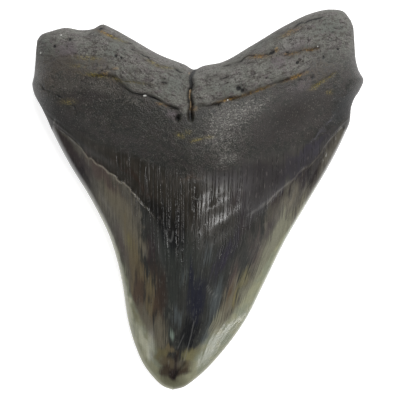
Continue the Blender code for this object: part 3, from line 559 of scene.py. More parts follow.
def through(places, values, at, held=True):
    """The smooth curve that takes the values at those places, read at the numbers in `at`.

    Each gap holds one cubic. Where the curve is held, its slope at a place is the harmonic mean of the
    straight slopes before and after it, or level where those turn, so it never passes beyond its values.
    Otherwise the slope is their mean, the one over the shorter gap counting more.
    """
    places, values = np.asarray(places, float), np.asarray(values, float)
    per_value = (1,) * (values.ndim - 1)
    straight = np.diff(values, axis=0) / np.diff(places).reshape(-1, *per_value)
    before, after = straight[:-1], straight[1:]
    if held:
        turns = before * after <= 0
        middle = np.where(turns, 0, 2 * before * after / np.where(turns, 1, before + after))
    else:
        gaps = np.diff(places).reshape(-1, *per_value)
        middle = (gaps[1:] * before + gaps[:-1] * after) / (gaps[1:] + gaps[:-1])
    slope = np.concatenate([straight[:1], middle, straight[-1:]])
    index = np.clip(np.searchsorted(places, at, side="right") - 1, 0, len(places) - 2)
    gap = (places[index + 1] - places[index]).reshape(*np.shape(at), *per_value)
    t = (at - places[index]).reshape(*np.shape(at), *per_value) / gap
    return (
        (1 + 2 * t) * (1 - t) ** 2 * values[index]
        + t * (1 - t) ** 2 * gap * slope[index]
        + t**2 * (3 - 2 * t) * values[index + 1]
        - t**2 * (1 - t) * gap * slope[index + 1]
    )


def run_along(points):
    """The length of the line up to each of its points, with the whole line as 1."""
    steps = np.hypot(*np.diff(np.asarray(points, float), axis=0).T)
    run = np.concatenate([[0.0], np.cumsum(steps)])
    return run / run[-1]


def on_line(points, share):
    """Points on the smooth line through the given ones, at shares of its length."""
    return through(run_along(points), points, share)


def share_at_height(margin, height):
    """How far along a margin, as a share of its length, it reaches that height up the drawing."""
    return np.interp(height, [y for _, y in margin], run_along(margin))


def chevron(left_end, left_points, middle, right_points, right_end, across):
    """One row as a smooth line, read at shares of the width; its middle point is at the share 0.5.

    Each half is drawn finely and measured, so that equal shares are equal lengths of it.
    """
    left, right = [left_end, *left_points, middle], [middle, *right_points, right_end]
    places = np.concatenate([run_along(left) / 2, 0.5 + run_along(right)[1:] / 2])
    fine = through(places, left + right[1:], np.linspace(0, 1, 2 * ROW_SAMPLES + 1), held=False)
    run = np.concatenate([
        run_along(fine[: ROW_SAMPLES + 1]) / 2, 0.5 + run_along(fine[ROW_SAMPLES:])[1:] / 2
    ])
    return np.stack([np.interp(across, run, fine[:, 0]), np.interp(across, run, fine[:, 1])], -1)


def plan(along, across):
    """Drawing places of the grid: a row for each level in `along`, a column for each share in `across`.

    Between chevrons a column is a smooth curve through them, and each row's two ends, the first and the
    last column, are then drawn onto the margins.
    """
    rows = [np.tile(TIP, (len(across), 1))]
    left_shares, right_shares = [0.0], [0.0]
    for _, left_height, right_height, left_points, middle, right_points in CHEVRONS:
        left_shares.append(share_at_height(LEFT_MARGIN, left_height))
        right_shares.append(share_at_height(RIGHT_MARGIN, right_height))
        left_end = on_line(LEFT_MARGIN, np.array(left_shares[-1]))
        right_end = on_line(RIGHT_MARGIN, np.array(right_shares[-1]))
        rows.append(chevron(left_end, left_points, middle, right_points, right_end, across))
    levels = [0.0] + [row[0] for row in CHEVRONS]
    grid = through(levels, np.array(rows), along)
    left = on_line(LEFT_MARGIN, through(levels, left_shares, along))
    right = on_line(RIGHT_MARGIN, through(levels, right_shares, along))
    fade = across[None, :, None]
    grid += (left - grid[:, 0])[:, None] * (1 - fade) ** 3
    grid += (right - grid[:, -1])[:, None] * fade**3
    return grid


def away_from(line, x, y):
    """Distance of each place from a line, positive on its left side, and the share of the line nearest it.

    On each straight stretch the nearest point is the start plus the stretch times the offset's share along
    it, held between 0 and 1; the stretch with the smallest distance counts.
    """
    run = run_along(line)
    distance, share = np.full(x.shape, np.inf), np.zeros(x.shape)
    for (start_x, start_y), (end_x, end_y), before, after in zip(line[:-1], line[1:], run[:-1], run[1:]):
        step_x, step_y = end_x - start_x, end_y - start_y
        offset_x, offset_y = x - start_x, y - start_y
        part = np.clip((offset_x * step_x + offset_y * step_y) / (step_x**2 + step_y**2), 0, 1)
        gap = np.hypot(offset_x - part * step_x, offset_y - part * step_y)
        side = np.where(step_x * offset_y < step_y * offset_x, -1, 1)
        nearer = gap < np.abs(distance)
        distance = np.where(nearer, side * gap, distance)
        share = np.where(nearer, before + part * (after - before), share)
    return distance, share


def clouds(u, v, size, seed):
    """Smooth noise from -1 to 1 over u and v.

    Random heights stand on a square lattice `size` apart. Between them the height is their blend, weighted
    each way by the smooth step 3t^2 - 2t^3 of the distance across the square.
    """
    lattice = 128
    table = np.random.default_rng(seed).uniform(-1, 1, (lattice, lattice))
    u, v = u / size, v / size
    i, j = np.floor(u).astype(int), np.floor(v).astype(int)
    s, t = u - i, v - j
    s, t = s * s * (3 - 2 * s), t * t * (3 - 2 * t)
    corner = [[table[(i + a) % lattice, (j + b) % lattice] for b in (0, 1)] for a in (0, 1)]
    near = corner[0][0] * (1 - t) + corner[0][1] * t
    far = corner[1][0] * (1 - t) + corner[1][1] * t
    return near * (1 - s) + far * s


def window(value, start, full, fading, gone, loss=1.0):
    """0 below `start`, 1 from `full` to `fading`, and less by `loss` from `gone` on."""
    return smooth_step(value, start, full) * (1 - loss * smooth_step(value, fading, gone))


def bump(offset, width):
    """A smooth bump: 1 at no offset, 0 well past `width`."""
    return np.exp(-((offset / width) ** 2))


def smooth_step(value, low, high):
    """0 below `low`, 1 above `high`, and 3t^2 - 2t^3 between them."""
    t = np.clip((value - low) / (high - low), 0, 1)
    return t * t * (3 - 2 * t)


def ends(share, length):
    """1 along a line, running out to 0 over a share `length` of it at either end."""
    return np.clip(share / length, 0, 1) * np.clip((1 - share) / length, 0, 1)


def blots(marks, x, y):
    """Soft oval marks laid over each other: 1 minus the product of what each leaves.

    A mark is a bump in its two half widths; its long side leans by `lean` millimetres a millimetre.
    """
    left = np.ones(x.shape)
    for mark_x, mark_y, width, length, lean, strength in marks:
        offset_x, offset_y = x - mark_x, y - mark_y
        if length >= width:
            offset_x = offset_x - lean * offset_y
        else:
            offset_y = offset_y - lean * offset_x
        left *= 1 - strength * bump(offset_x, width) * bump(offset_y, length)
    return 1 - left


def lines(marks, x, y):
    """Thin marks along lines: the strongest of their bumps, each with its half width and strength."""
    return np.max([
        strength * bump(away_from(line, x, y)[0], width) for line, width, strength in marks
    ], axis=0)


def uneven(name, x, y):
    """The named clouds over x and y, layer on layer."""
    return sum(
        height * clouds(x * share_x, y * share_y, size, seed)
        for height, share_x, share_y, size, seed in UNEVEN[name]
    )


class Face:
    """One face of the tooth over the grid: its places, levels and shares, in drawing millimetres."""

    def __init__(self, grid, along, across, lingual):
        self.x, self.y = grid[..., 0], grid[..., 1]
        self.along = np.broadcast_to(along[:, None], self.x.shape)
        self.across = np.broadcast_to(across[None, :], self.x.shape)
        self.lingual = lingual
        self.u, self.v = self.across * ROW_LENGTH, self.along * COLUMN_LENGTH

    def section(self, values):
        """A height table read at the face's levels."""
        return through(LEVELS, values, self.along[:, 0])[:, None]


def outline():
    """The closed outline, as a fine line round the tooth."""
    share = np.linspace(0, 1, LINE_SAMPLES)
    border = plan(np.array([BORDER]), share)[0]
    left, right = on_line(LEFT_MARGIN, share), on_line(RIGHT_MARGIN, share)
    return np.concatenate([left[:-1], border[:-1], right[::-1]])


def zones(face):
    """Masks of the rough root, the smooth root under the ledge, and the neck down to the enamel's foot."""
    level = face.along + uneven("zone_edges", face.u, face.v)
    if not face.lingual:
        root = smooth_step(level, *LABIAL_BORDER)
        return {"root": root, "smooth_root": 0 * root, "neck": 0 * root}
    soft = LEDGE_SOFT + LOBE_SOFT * smooth_step(np.abs(face.x - ROOT_MIDDLE), *LOBES)
    root = smooth_step(level, LEDGE - soft, LEDGE + soft)
    above_neck = smooth_step(level, NECK - NECK_SOFT, NECK + NECK_SOFT)
    foot = [LEFT_MARGIN[9], *ENAMEL_LEFT, *ENAMEL_MIDDLE, *ENAMEL_RIGHT, RIGHT_MARGIN[9]]
    soft = FOOT_SOFT + KEEL_SOFT * bump(face.across - KEEL, KEEL_WIDTH)
    above_foot = smooth_step(away_from(foot, face.x, face.y)[0], -soft, soft)
    return {
        "root": root,
        "smooth_root": above_neck * (1 - root),
        "neck": above_foot * (1 - above_neck),
    }


def cracks(face):
    """Depth in millimetres, darkness and darkened surrounds of the cracks, bumps across each line, and the
    height that one side has over the other. The surrounds are partly brown-black smudges and partly painted
    shade."""
    x, y = face.x, face.y
    wander = CRACK_WANDER * uneven("crack_paths", x, y)
    unbroken = np.clip(CRACK_UNBROKEN + uneven("crack_breaks", x, y), 0, 1)
    depth, dark, step, crack_shade_and_smudge = (np.zeros(x.shape) for _ in range(4))
    for line, deep, width, rise in CRACKS:
        distance, share = away_from(on_line(line, np.linspace(0, 1, CRACK_POINTS * len(line))), x, y)
        taper = ends(share, CRACK_TAPER)
        if line is CLEFT:
            groove = bump(distance + CLEFT_WANDER * wander, width) * taper
        else:
            narrow = width * CRACK_NARROW * (CRACK_THINNEST + CRACK_SWELL * unbroken)
            groove = bump(distance + wander, narrow) * taper * unbroken
        depth = np.maximum(depth, deep * groove)
        dark = np.maximum(dark, groove)
        crack_shade_and_smudge = np.maximum(crack_shade_and_smudge, bump(distance + 2 * wander, CRACK_SHADE_AND_SMUDGE_WIDTH) * taper)
        step += rise * 0.5 * np.tanh(distance / CRACK_WALL) * np.exp(-np.abs(distance) / CRACK_FADE) * taper
    return depth, dark, step, crack_shade_and_smudge


def pits(face):
    """Darkness and depth in millimetres of the pits: bumps at their places, with ragged edges."""
    ragged = 1 + uneven("pit_edges", face.x, face.y)
    hollow, depth = np.zeros(face.x.shape), np.zeros(face.x.shape)
    for x, y, width, length, deep in PITS:
        mark = bump((face.x - x) * ragged, width) * bump((face.y - y) * ragged, length)
        hollow = np.maximum(hollow, mark)
        depth = np.maximum(depth, deep * mark)
    return hollow, depth


def grain(face, zone):
    """Rough lumps and pores of the root, finer ones under the ledge and ridges down the crown, in mm."""
    pores = -PORE_DEPTH * smooth_step(uneven("root_pores", face.u, face.v), *PORE_WINDOW)
    root = uneven("root_lumps", face.u, face.v) + pores
    smooth_root = uneven("smooth_root", face.x, face.y) + SMOOTH_PORES * pores
    height = zone["root"] * root + zone["smooth_root"] * smooth_root
    if face.lingual:
        return height + ridges(face)
    return height + uneven("labial_streaks", face.u, face.v) * (1 - zone["root"])


def ridge_field(face):
    """Where the crown is ridged: from the neck down to the foot of the enamel's edge, in the middle."""
    return window(face.along, *RIDGED_LEVELS) * window(face.across, *RIDGED_SHARES, loss=RIDGED_SHARES_LOSS)


def ridges(face):
    """Ridges down the crown: noise that is fine across and long down it, strongest at the neck's foot."""
    run = streaks(face.x, face.y)
    faint = uneven("faint_ridges", run, face.y) * (1 - smooth_step(face.along, *FAINT_RIDGES_END))
    return ridge_field(face) * uneven("ridges", run, face.y) + faint


def waves(x, y):
    """Low waves over the ridged part of the crown, their crests rising to the right: a sine along WAVE_RUN,
    its place unsettled by clouds, inside a bump."""
    run = WAVE_RUN[0] * x + WAVE_RUN[1] * y + uneven("wave_paths", x, y)
    field = bump(x - WAVE_MIDDLE[0], WAVE_REACH) * bump(y - WAVE_MIDDLE[1], WAVE_REACH)
    return WAVE_HEIGHT * field * np.sin(2 * np.pi * (run - WAVE_START) / WAVE_LENGTH)


def relief(face, zone, depth, step, pit_depth):
    """Everything on the lingual face above its smooth form, in millimetres."""
    x, y = face.x, face.y
    height = step - depth - pit_depth
    for edge, drop, _ in ENAMEL_EDGES:
        distance, share = away_from(edge, x, y)
        distance = distance + uneven("enamel_edges", x, y)
        fall = drop * np.tanh(distance / ENAMEL_WALL) * np.exp(-np.abs(distance) / ENAMEL_FADE)
        height -= fall * ends(share, ENAMEL_TAPER) * (1 - smooth_step(face.along, *ENAMEL_LEVELS))
    sides = (1 - GROOVE_RIGHT_LOSS * smooth_step(x, *GROOVE_RIGHT)) * (
        1 - GROOVE_LEFT_LOSS * (1 - smooth_step(x, *GROOVE_LEFT))
    )
    height -= GROOVE_DEPTH * bump(away_from(NECK_GROOVE, x, y)[0], GROOVE_WIDTH) * sides
    height -= NECK_LINE_DEPTH * bump(away_from(LEFT_NECK_LINE, x, y)[0], NECK_LINE_WIDTH)
    distance, share = away_from(RIGHT_FOOT, x, y)
    height += FOOT_RISE * bump(distance, FOOT_WIDTH) * ends(share, FOOT_TAPER)
    for swell_x, swell_y, width, length, rise in SWELLS:
        height += rise * bump(x - swell_x, width) * bump(y - swell_y, length)
    return height + waves(x, y) + grain(face, zone)


def rounded(distance, radius):
    """A quarter round: 0 on the outline, 1 from `radius` inwards."""
    return np.sqrt(1 - (1 - np.clip(distance / radius, 0, 1)) ** 2)


def heights(face, edge_distance, extra):
    """Heights of the face: margin height to middle height across a row, then rounded down to the outline.

    The rise across a row is 1 minus the distance from the middle raised to the row's fullness. The rounding
    is a quarter round, sharper on the right.
    """
    inwards = 1 - np.abs(2 * face.across - 1)
    full = 1 - (1 - inwards) ** face.section(FULLNESS)
    radius = face.section(EDGE_RADIUS) * (1 - SHARPER * smooth_step(face.across, *SHARPER_SHARES))
    edge = rounded(edge_distance, radius)
    rim = face.section(OUTLINE_HEIGHT)
    if face.lingual:
        margin, middle = face.section(MARGIN_HEIGHT), face.section(MIDDLE_HEIGHT)
    else:
        margin, middle = face.section(MARGIN_LIFT), face.section(MIDDLE_LIFT)
    height = margin + (middle - margin) * full + extra
    height = rim + (height - rim) * edge
    if not face.lingual:
        height = np.maximum(height, REST_BAND)
    return height - REST_BAND


def marks_of(face, edge_distance, zone, dark, crack_shade_and_smudge, hollow):
    """The numbers that the material reads, by name, each from 0 to 1."""
    x, y, run = face.x, face.y, streaks(face.x, face.y)
    crown = (1 - zone["root"]) * (1 - zone["smooth_root"])
    left = x < np.interp(y, *MIDDLE_LINE)
    marks = {**zone, "crack": dark, "crack_shade_and_smudge": crack_shade_and_smudge, "pit": hollow, "row_u": face.u, "row_v": face.v}
    for name, widths, border in (("flank", FLANK, FLANK_BORDER), ("rim", RIM, RIM_BORDER)):
        width = np.where(left, *(np.interp(y, RIM_HEIGHTS, side) for side in widths))
        marks[name] = crown * (1 - zone["neck"]) * (1 - smooth_step(edge_distance / width, *border))
    # Bright edge line: partly the thin enamel's paler colour, partly a painted reflection of the white floor
    top = 1 - smooth_step(y, np.where(left, *BRIGHT_EDGE_FADES), BRIGHT_EDGE_END)
    marks["edge"] = crown * bump(edge_distance, BRIGHT_EDGE_WIDTH) * np.where(left, *BRIGHT_EDGE) * top
    marks["polish"] = crown * (1 - smooth_step(face.along, *POLISH_END))
    for name, places in (
        ("orange", ORANGE), ("yellow", YELLOW), ("tan_plug", TAN_PLUG), ("speck", SPECKS), ("matt", MATT),
    ):
        marks[name] = blots(places, x, y)
    down = uneven("stains_down", run, y) + uneven("stains_along", x, y)
    roots = zone["root"] + zone["smooth_root"]
    for stains, shift_x, shift_y, where in (
        (STAINS, uneven("stains_across", run, y), down, 1 - zone["root"]),
        (TIP_STAINS, uneven("tip_stains_across", x, y), uneven("tip_stains_along", x, y), 1),
        (ROOT_STAINS, uneven("root_stains_across", x, y), uneven("root_stains_along", x, y), roots),
    ):
        for name, (_, places) in stains.items():
            marks[name] = blots(places, x + shift_x, y + shift_y) * where
    marks["scratch"], marks["dark_line"] = lines(SCRATCHES, x, y), lines(DARK_LINES, x, y)
    marks["ridged"] = np.maximum(ridge_field(face), zone["neck"] * blots(STREAKED, x, y))
    # Painted highlight: a pale line along each enamel edge, where its small step catches the light
    marks["enamel_edge"] = 0 * x
    for line, _, clear in ENAMEL_EDGES:
        distance, share = away_from(line, x, y)
        distance = distance + HIGHLIGHT_LINE_PLACE + uneven("enamel_edges", x, y)
        painted_highlight_line = clear * bump(distance, HIGHLIGHT_LINE_WIDTH) * ends(share, HIGHLIGHT_LINE_TAPER)
        marks["enamel_edge"] = np.maximum(marks["enamel_edge"], painted_highlight_line)
    if not face.lingual:
        marks.update((name, 0 * x) for name in (*LINGUAL_MARKS, *ROOT_STAINS))
    return marks


def row_places():
    """Levels with a row: close in the root, wider on the crown, and drawn in to the root's border."""
    places = np.interp(np.linspace(0, 1, ROWS + 1)[1:], *ROW_SHARES)
    last = places[-LAST_ROWS - 1]
    shares = np.linspace(0, 1, LAST_ROWS + 1)[1:]
    places[-LAST_ROWS:] = last + (BORDER - last) * (1 - (1 - shares) ** 2)
    return places


def column_places():
    """Shares of the width with a column, closer at the margins and in the middle than even ones."""
    turn = np.linspace(0, 2 * np.pi, COLUMNS + 1)
    return (turn - MARGIN_DRAW * np.sin(turn) - MIDDLE_DRAW * np.sin(2 * turn) / 2) / (2 * np.pi)


def drawn_to_cleft(grid, along):
    """The grid with its middle columns shifted sideways, so that they run along the cleft."""
    cleft_x, cleft_y = np.array(CLEFT[::-1]).T
    middle = grid[:, COLUMNS // 2]
    shift = np.interp(middle[:, 1], cleft_y, cleft_x) - middle[:, 0]
    pull = smooth_step(along, *CLEFT_LEVELS)
    grid = grid.copy()
    grid[..., 0] += (pull * shift)[:, None] * bump(grid[..., 0] - middle[:, :1], CLEFT_REACH)
    return grid


def quads(index):
    """The four-cornered faces of a grid of point numbers, counter-clockwise from above."""
    corners = [index[:-1, :-1], index[:-1, 1:], index[1:, 1:], index[1:, :-1]]
    return np.stack(corners, -1).reshape(-1, 4).tolist()


def tooth_shape():
    """Points in drawing millimetres, faces and marks of the closed tooth.

    The lingual sheet is the whole grid. The labial one keeps every second column, shares the margins and the
    border with it, and turns its faces down. Both close in a fan round the tip.
    """
    along, across = row_places(), column_places()
    grid = drawn_to_cleft(plan(along, across), along)
    kept = np.arange(0, COLUMNS + 1, LABIAL_STRIDE)
    ring = outline()
    sheets, marks = [], []
    for columns, lingual in ((np.arange(COLUMNS + 1), True), (kept, False)):
        face = Face(grid[:, columns], along, across[columns], lingual)
        edge_distance = np.abs(away_from(ring, face.x, face.y)[0])
        zone = zones(face)
        if lingual:
            depth, dark, step, crack_shade_and_smudge = cracks(face)
            hollow, pit_depth = pits(face)
            extra = relief(face, zone, depth, step, pit_depth)
        else:
            dark = crack_shade_and_smudge = hollow = 0 * face.x
            extra = -grain(face, zone)
        sheets.append(np.dstack([face.x, face.y, heights(face, edge_distance, extra)]))
        marks.append(marks_of(face, edge_distance, zone, dark, crack_shade_and_smudge, hollow))

    upper, lower = sheets[0], sheets[1][:-1, 1:-1]
    tip = [[*TIP, OUTLINE_HEIGHT[0] - REST_BAND]]
    points = np.concatenate([tip, upper.reshape(-1, 3), lower.reshape(-1, 3)])
    above, below = marks
    values = {
        name: np.concatenate([above[name][:1, 0], above[name].ravel(), below[name][:-1, 1:-1].ravel()])
        for name in above
    }

    upper_index = 1 + np.arange(upper[..., 0].size).reshape(upper.shape[:2])
    lower_index = upper_index[:, kept].copy()
    lower_index[:-1, 1:-1] = 1 + upper_index.size + np.arange(lower[..., 0].size).reshape(lower.shape[:2])
    faces = quads(upper_index)
    faces += [face[::-1] for face in quads(lower_index[:-1])]
    faces += [[0, right, left] for left, right in zip(upper_index[0, :-1], upper_index[0, 1:])]
    faces += [[0, left, right] for left, right in zip(lower_index[0, :-1], lower_index[0, 1:])]
    for i in range(len(kept) - 1):
        border = upper_index[-1, kept[i] : kept[i + 1] + 1]
        faces.append([lower_index[-2, i + 1], lower_index[-2, i], *border])
    return points, faces, values


def laid_in_box(points, node):
    """The drawing's points in metres, at the node's length, centred in its box, lowest on lowest."""
    low, high = (np.array(corner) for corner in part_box(node))
    drawn_low, drawn_high = points.min(0), points.max(0)
    scale = (high[1] - low[1]) / (drawn_high[1] - drawn_low[1])
    anchor = [(drawn_low[0] + drawn_high[0]) / 2, (drawn_low[1] + drawn_high[1]) / 2, drawn_low[2]]
    return (points - anchor) * scale + [(low[0] + high[0]) / 2, (low[1] + high[1]) / 2, low[2]]


def streaks(x, y):
    """Places across the tooth that stay the same down a streak: straight on the left, and on the right
    their distance from STREAKS_START times a factor that grows towards the tip, as the crown narrows."""
    narrow = np.interp(y, STREAK_HEIGHTS, STREAK_NARROWING)
    return np.where(x > STREAKS_START, STREAKS_START + (x - STREAKS_START) * narrow, x)


def make_tooth(material):
    """The piece tooth_surface, with the material's marks as attributes on its points."""
    points, faces, values = tooth_shape()
    mesh = bpy.data.meshes.new("tooth_surface")
    mesh.from_pydata(laid_in_box(points, "tooth").tolist(), [], faces)
    for name, value in values.items():
        mesh.attributes.new(name, "FLOAT", "POINT").data.foreach_set("value", value.astype(np.float32))
    down_streaks = np.stack([streaks(points[:, 0], points[:, 1]), *points[:, 1:].T], -1)
    for name, places in (("place", points), ("streak", down_streaks)):
        attribute = mesh.attributes.new(name, "FLOAT_VECTOR", "POINT")
        attribute.data.foreach_set("vector", places.astype(np.float32).ravel())
    mesh.shade_smooth()
    mesh.materials.append(material)
    return put("tooth_surface", mesh)


class Signal:
    """A shader socket that can be reckoned with: each operator adds the Math node that it stands for."""

    def __init__(self, finish, socket):
        self.finish, self.socket = finish, socket

    def math(self, operation, *values, clamp=False):
        return self.finish.node("ShaderNodeMath", {"operation": operation, "use_clamp": clamp}, *values)

    def __add__(self, other):
        return self.math("ADD", self, other)

    def __sub__(self, other):
        return self.math("SUBTRACT", self, other)

    def __rsub__(self, other):
        return self.math("SUBTRACT", other, self)

    def __mul__(self, other):
        return self.math("MULTIPLY", self, other)

    __radd__, __rmul__ = __add__, __mul__

    def held(self):
        """The value held between 0 and 1."""
        return self.math("ADD", self, 0.0, clamp=True)

    def between(self, low, high):
        """A smooth step from 0 at `low` to 1 at `high`."""
        settings = {"interpolation_type": "SMOOTHSTEP"}
        return self.finish.node("ShaderNodeMapRange", settings, self, low, high, 0.0, 1.0)

    def thin_lines(self, width):
        """1 where the value passes a half, down to 0 at `width` to either side of it."""
        return 1 - self.math("ABSOLUTE", self - 0.5).between(0.0, width)


class Finish:
    """A material under construction: a Principled surface and the nodes that feed it."""

    def __init__(self, name):
        self.material = bpy.data.materials.new(name)
        self.material.use_nodes = True
        self.tree = self.material.node_tree

    def made(self, looks):
        """The material, once each named socket of its surface has its value or link."""
        for name, value in looks.items():
            self.feed(self.tree.nodes["Principled BSDF"].inputs[name], value)
        return self.material

    def node(self, kind, settings, *values, output=0, **named):
        """Adds a node: its type, its settings, then socket values or links in order or by name."""
        made = self.tree.nodes.new(kind)
        for name, setting in settings.items():
            setattr(made, name, setting)
        sockets = [(made.inputs[i], value) for i, value in enumerate(values)]
        sockets += [(made.inputs[name], value) for name, value in named.items()]
        for socket, value in sockets:
            self.feed(socket, value)
        return Signal(self, made.outputs[output])

    def feed(self, socket, value):
        """A link into the socket, or its own constant value."""
        if isinstance(value, Signal):
            self.tree.links.new(value.socket, socket)
        else:
            socket.default_value = value

    def mark(self, name):
        """A number that the mesh carries."""
        return self.node("ShaderNodeAttribute", {"attribute_name": name}, output=2)

    def places(self, name):
        """Places in millimetres that the mesh carries."""
        return self.node("ShaderNodeAttribute", {"attribute_name": name}, output=1)

    def stretched(self, vector, factors):
        return self.node("ShaderNodeVectorMath", {"operation": "MULTIPLY"}, vector, factors)

    def noise(self, vector, scale, detail, roughness):
        """Noise from 0 to 1: how often it turns in a millimetre, its finer layers and their share."""
        texture = {"Vector": vector, "Scale": scale, "Detail": detail, "Roughness": roughness}
        return self.node("ShaderNodeTexNoise", {}, **texture)

    def cells(self, vector, scale):
        """Distance to the nearest of scattered points, in cells."""
        return self.node("ShaderNodeTexVoronoi", {}, Vector=vector, Scale=scale)

    def mix(self, factor, low, high):
        """A colour between two."""
        mixer = self.node("ShaderNodeMix", {"data_type": "RGBA"}, output=2)
        inputs = mixer.socket.node.inputs
        for socket, value in zip((inputs[0], inputs[6], inputs[7]), (factor, low, high)):
            self.feed(socket, value)
        return mixer

    def coated(self, colour, *coats):
        """The colour with coats laid over it in turn, each as (how much it covers, its colour)."""
        for cover, coat in coats:
            colour = self.mix(cover, colour, coat)
        return colour

    def shade(self, colour, factor):
        """A colour times a number."""
        return self.node("ShaderNodeVectorMath", {"operation": "SCALE"}, colour, Scale=factor)


def tone(red, green, blue, veil=VEIL):
    """The linear colour that looks like these 0 to 255 values where the studio lights it."""
    linear = [((c / 255 + 0.055) / 1.055) ** 2.4 if c > 10 else c / 255 / 12.92 for c in (red, green, blue)]
    return (*(max(c - veil, DARKEST) / LIT for c in linear), 1.0)


def crown_tone(*colour):
    return tone(*colour, veil=CROWN_VEIL)


def patterns(finish):
    """The noises that PATTERNS lists, and the masks worked out from them, by name."""
    mark = finish.mark
    places = {
        "place": finish.places("place"),
        "streak": finish.places("streak"),
        "rows": finish.node("ShaderNodeCombineXYZ", {}, mark("row_u"), mark("row_v"), 0.0),
    }
    p = SimpleNamespace()
    for name, (source, stretch, *texture) in PATTERNS.items():
        vector = finish.stretched(places[source], stretch) if stretch else places[source]
        setattr(p, name, finish.noise(vector, *texture))
    p.wood = (p.streak * 0.2 + p.fine_streak * 0.3 + p.blotch * 0.5).between(0.32, 0.68)
    p.fibre = (p.streak * 0.35 + p.fine_streak * 0.65).between(0.34, 0.66)
    p.split = p.split.thin_lines(0.022) * p.hue.between(0.46, 0.54)
    p.groove = p.groove.thin_lines(0.06) * p.mottle.between(0.35, 0.55)
    pores = 1 - finish.cells(places["place"], PORE_SCALE).between(0.10, 0.24)
    p.pore = pores * p.hue.between(0.44, 0.52)
    p.grit = p.speckle.between(0.56, 0.72)
    p.crumbs = (p.speckle * 0.7 + p.mottle * 0.3).between(0.46, 0.62)
    # Specks for the painted glints of the sheen
    p.glint = (p.speckle * 0.45 + p.flake * 0.55).between(0.50, 0.60)
    return p


def stained(finish, colour, stains, breakup, blend, strength, shown=tone):
    """A table's stains laid over a colour, their edges broken up by the noise `blend`."""
    for name, (stain, _) in stains.items():
        mark = finish.mark(name)
        shape = (mark + (blend - 0.5) * breakup * mark.between(0.0, 0.3)).between(0.15, 0.85)
        colour = finish.mix(shape * strength, colour, shown(*stain))
    return colour


def crown_colour(finish, p):
    """Stained enamel: a dark middle, paler flanks, pale rims and a burnt tip, all in fine streaks, with a
    bright line on the very edge that is partly a painted reflection.
    """
    mark, mix = finish.mark, finish.mix
    middle = mix(p.wood, crown_tone(46, 47, 45), crown_tone(62, 62, 59))
    flank = mix(p.wood, crown_tone(72, 69, 62), crown_tone(102, 98, 88))
    crown = mix((mark("flank") + (p.wood - 0.5) * 0.6).between(0.3, 0.7), middle, flank)
    crown = stained(finish, crown, STAINS, 0.5, p.fibre, 0.85, crown_tone)
    rim, ragged = mark("rim"), (p.wood - 0.5) * (0.6 - mark("polish") * 0.45)
    rim = (rim + ragged * rim.between(0.0, 0.4)).between(0.15, 0.85)
    pale = mix(p.patch.between(0.4, 0.6), crown_tone(144, 144, 118), crown_tone(132, 136, 116))
    crown = mix(rim * 0.9, crown, pale)
    crown = stained(finish, crown, TIP_STAINS, 0.4, p.mottle * 0.5 + p.fibre * 0.5, 0.92, crown_tone)
    return finish.coated(
        finish.shade(crown, 0.58 + 0.42 * p.fine_streak + 0.42 * p.speckle),
        # Bright line on the crown's very edge: partly paler thin enamel, partly a painted reflection of the
        # white floor
        (mark("edge"), crown_tone(178, 178, 142)),
        (p.hair.between(0.56, 0.66) * p.mottle.between(0.42, 0.60) * 0.35, crown_tone(128, 128, 120)),
    )


def neck_colour(finish, p):
    """Satin neck: dark fibres, with the crown's stains running up into them."""
    neck = finish.mix(p.wood, tone(42, 41, 37), tone(64, 60, 55))
    return stained(finish, neck, STAINS, 0.5, p.fibre, 0.8)


def smooth_root_colour(finish, p):
    """Dark, finely mottled smooth root under the ledge."""
    colour = finish.mix(p.mottle.between(0.3, 0.7), tone(34, 35, 30), tone(57, 55, 49))
    colour = finish.mix(p.hue.between(0.44, 0.56), colour, tone(56, 51, 48))
    return finish.mix(p.speckle.between(0.28, 0.46), tone(28, 29, 25), colour)


def root_colour(finish, p):
    """Rough grey root: warm and cool patches, dark between its scales, with pale grit and fine splits."""
    mix = finish.mix
    colour = mix(p.hue.between(0.42, 0.58), tone(94, 95, 89), tone(98, 91, 91))
    colour = mix(p.mottle.between(0.3, 0.7), colour, tone(114, 113, 107))
    colour = mix(p.scaly.between(0.36, 0.50), tone(74, 70, 64), colour)
    colour = mix(p.grit * 0.7, colour, tone(150, 149, 142))
    colour = mix(p.speckle.between(0.32, 0.48), tone(62, 59, 54), colour)
    return mix(p.split * 0.7, colour, tone(46, 43, 38))


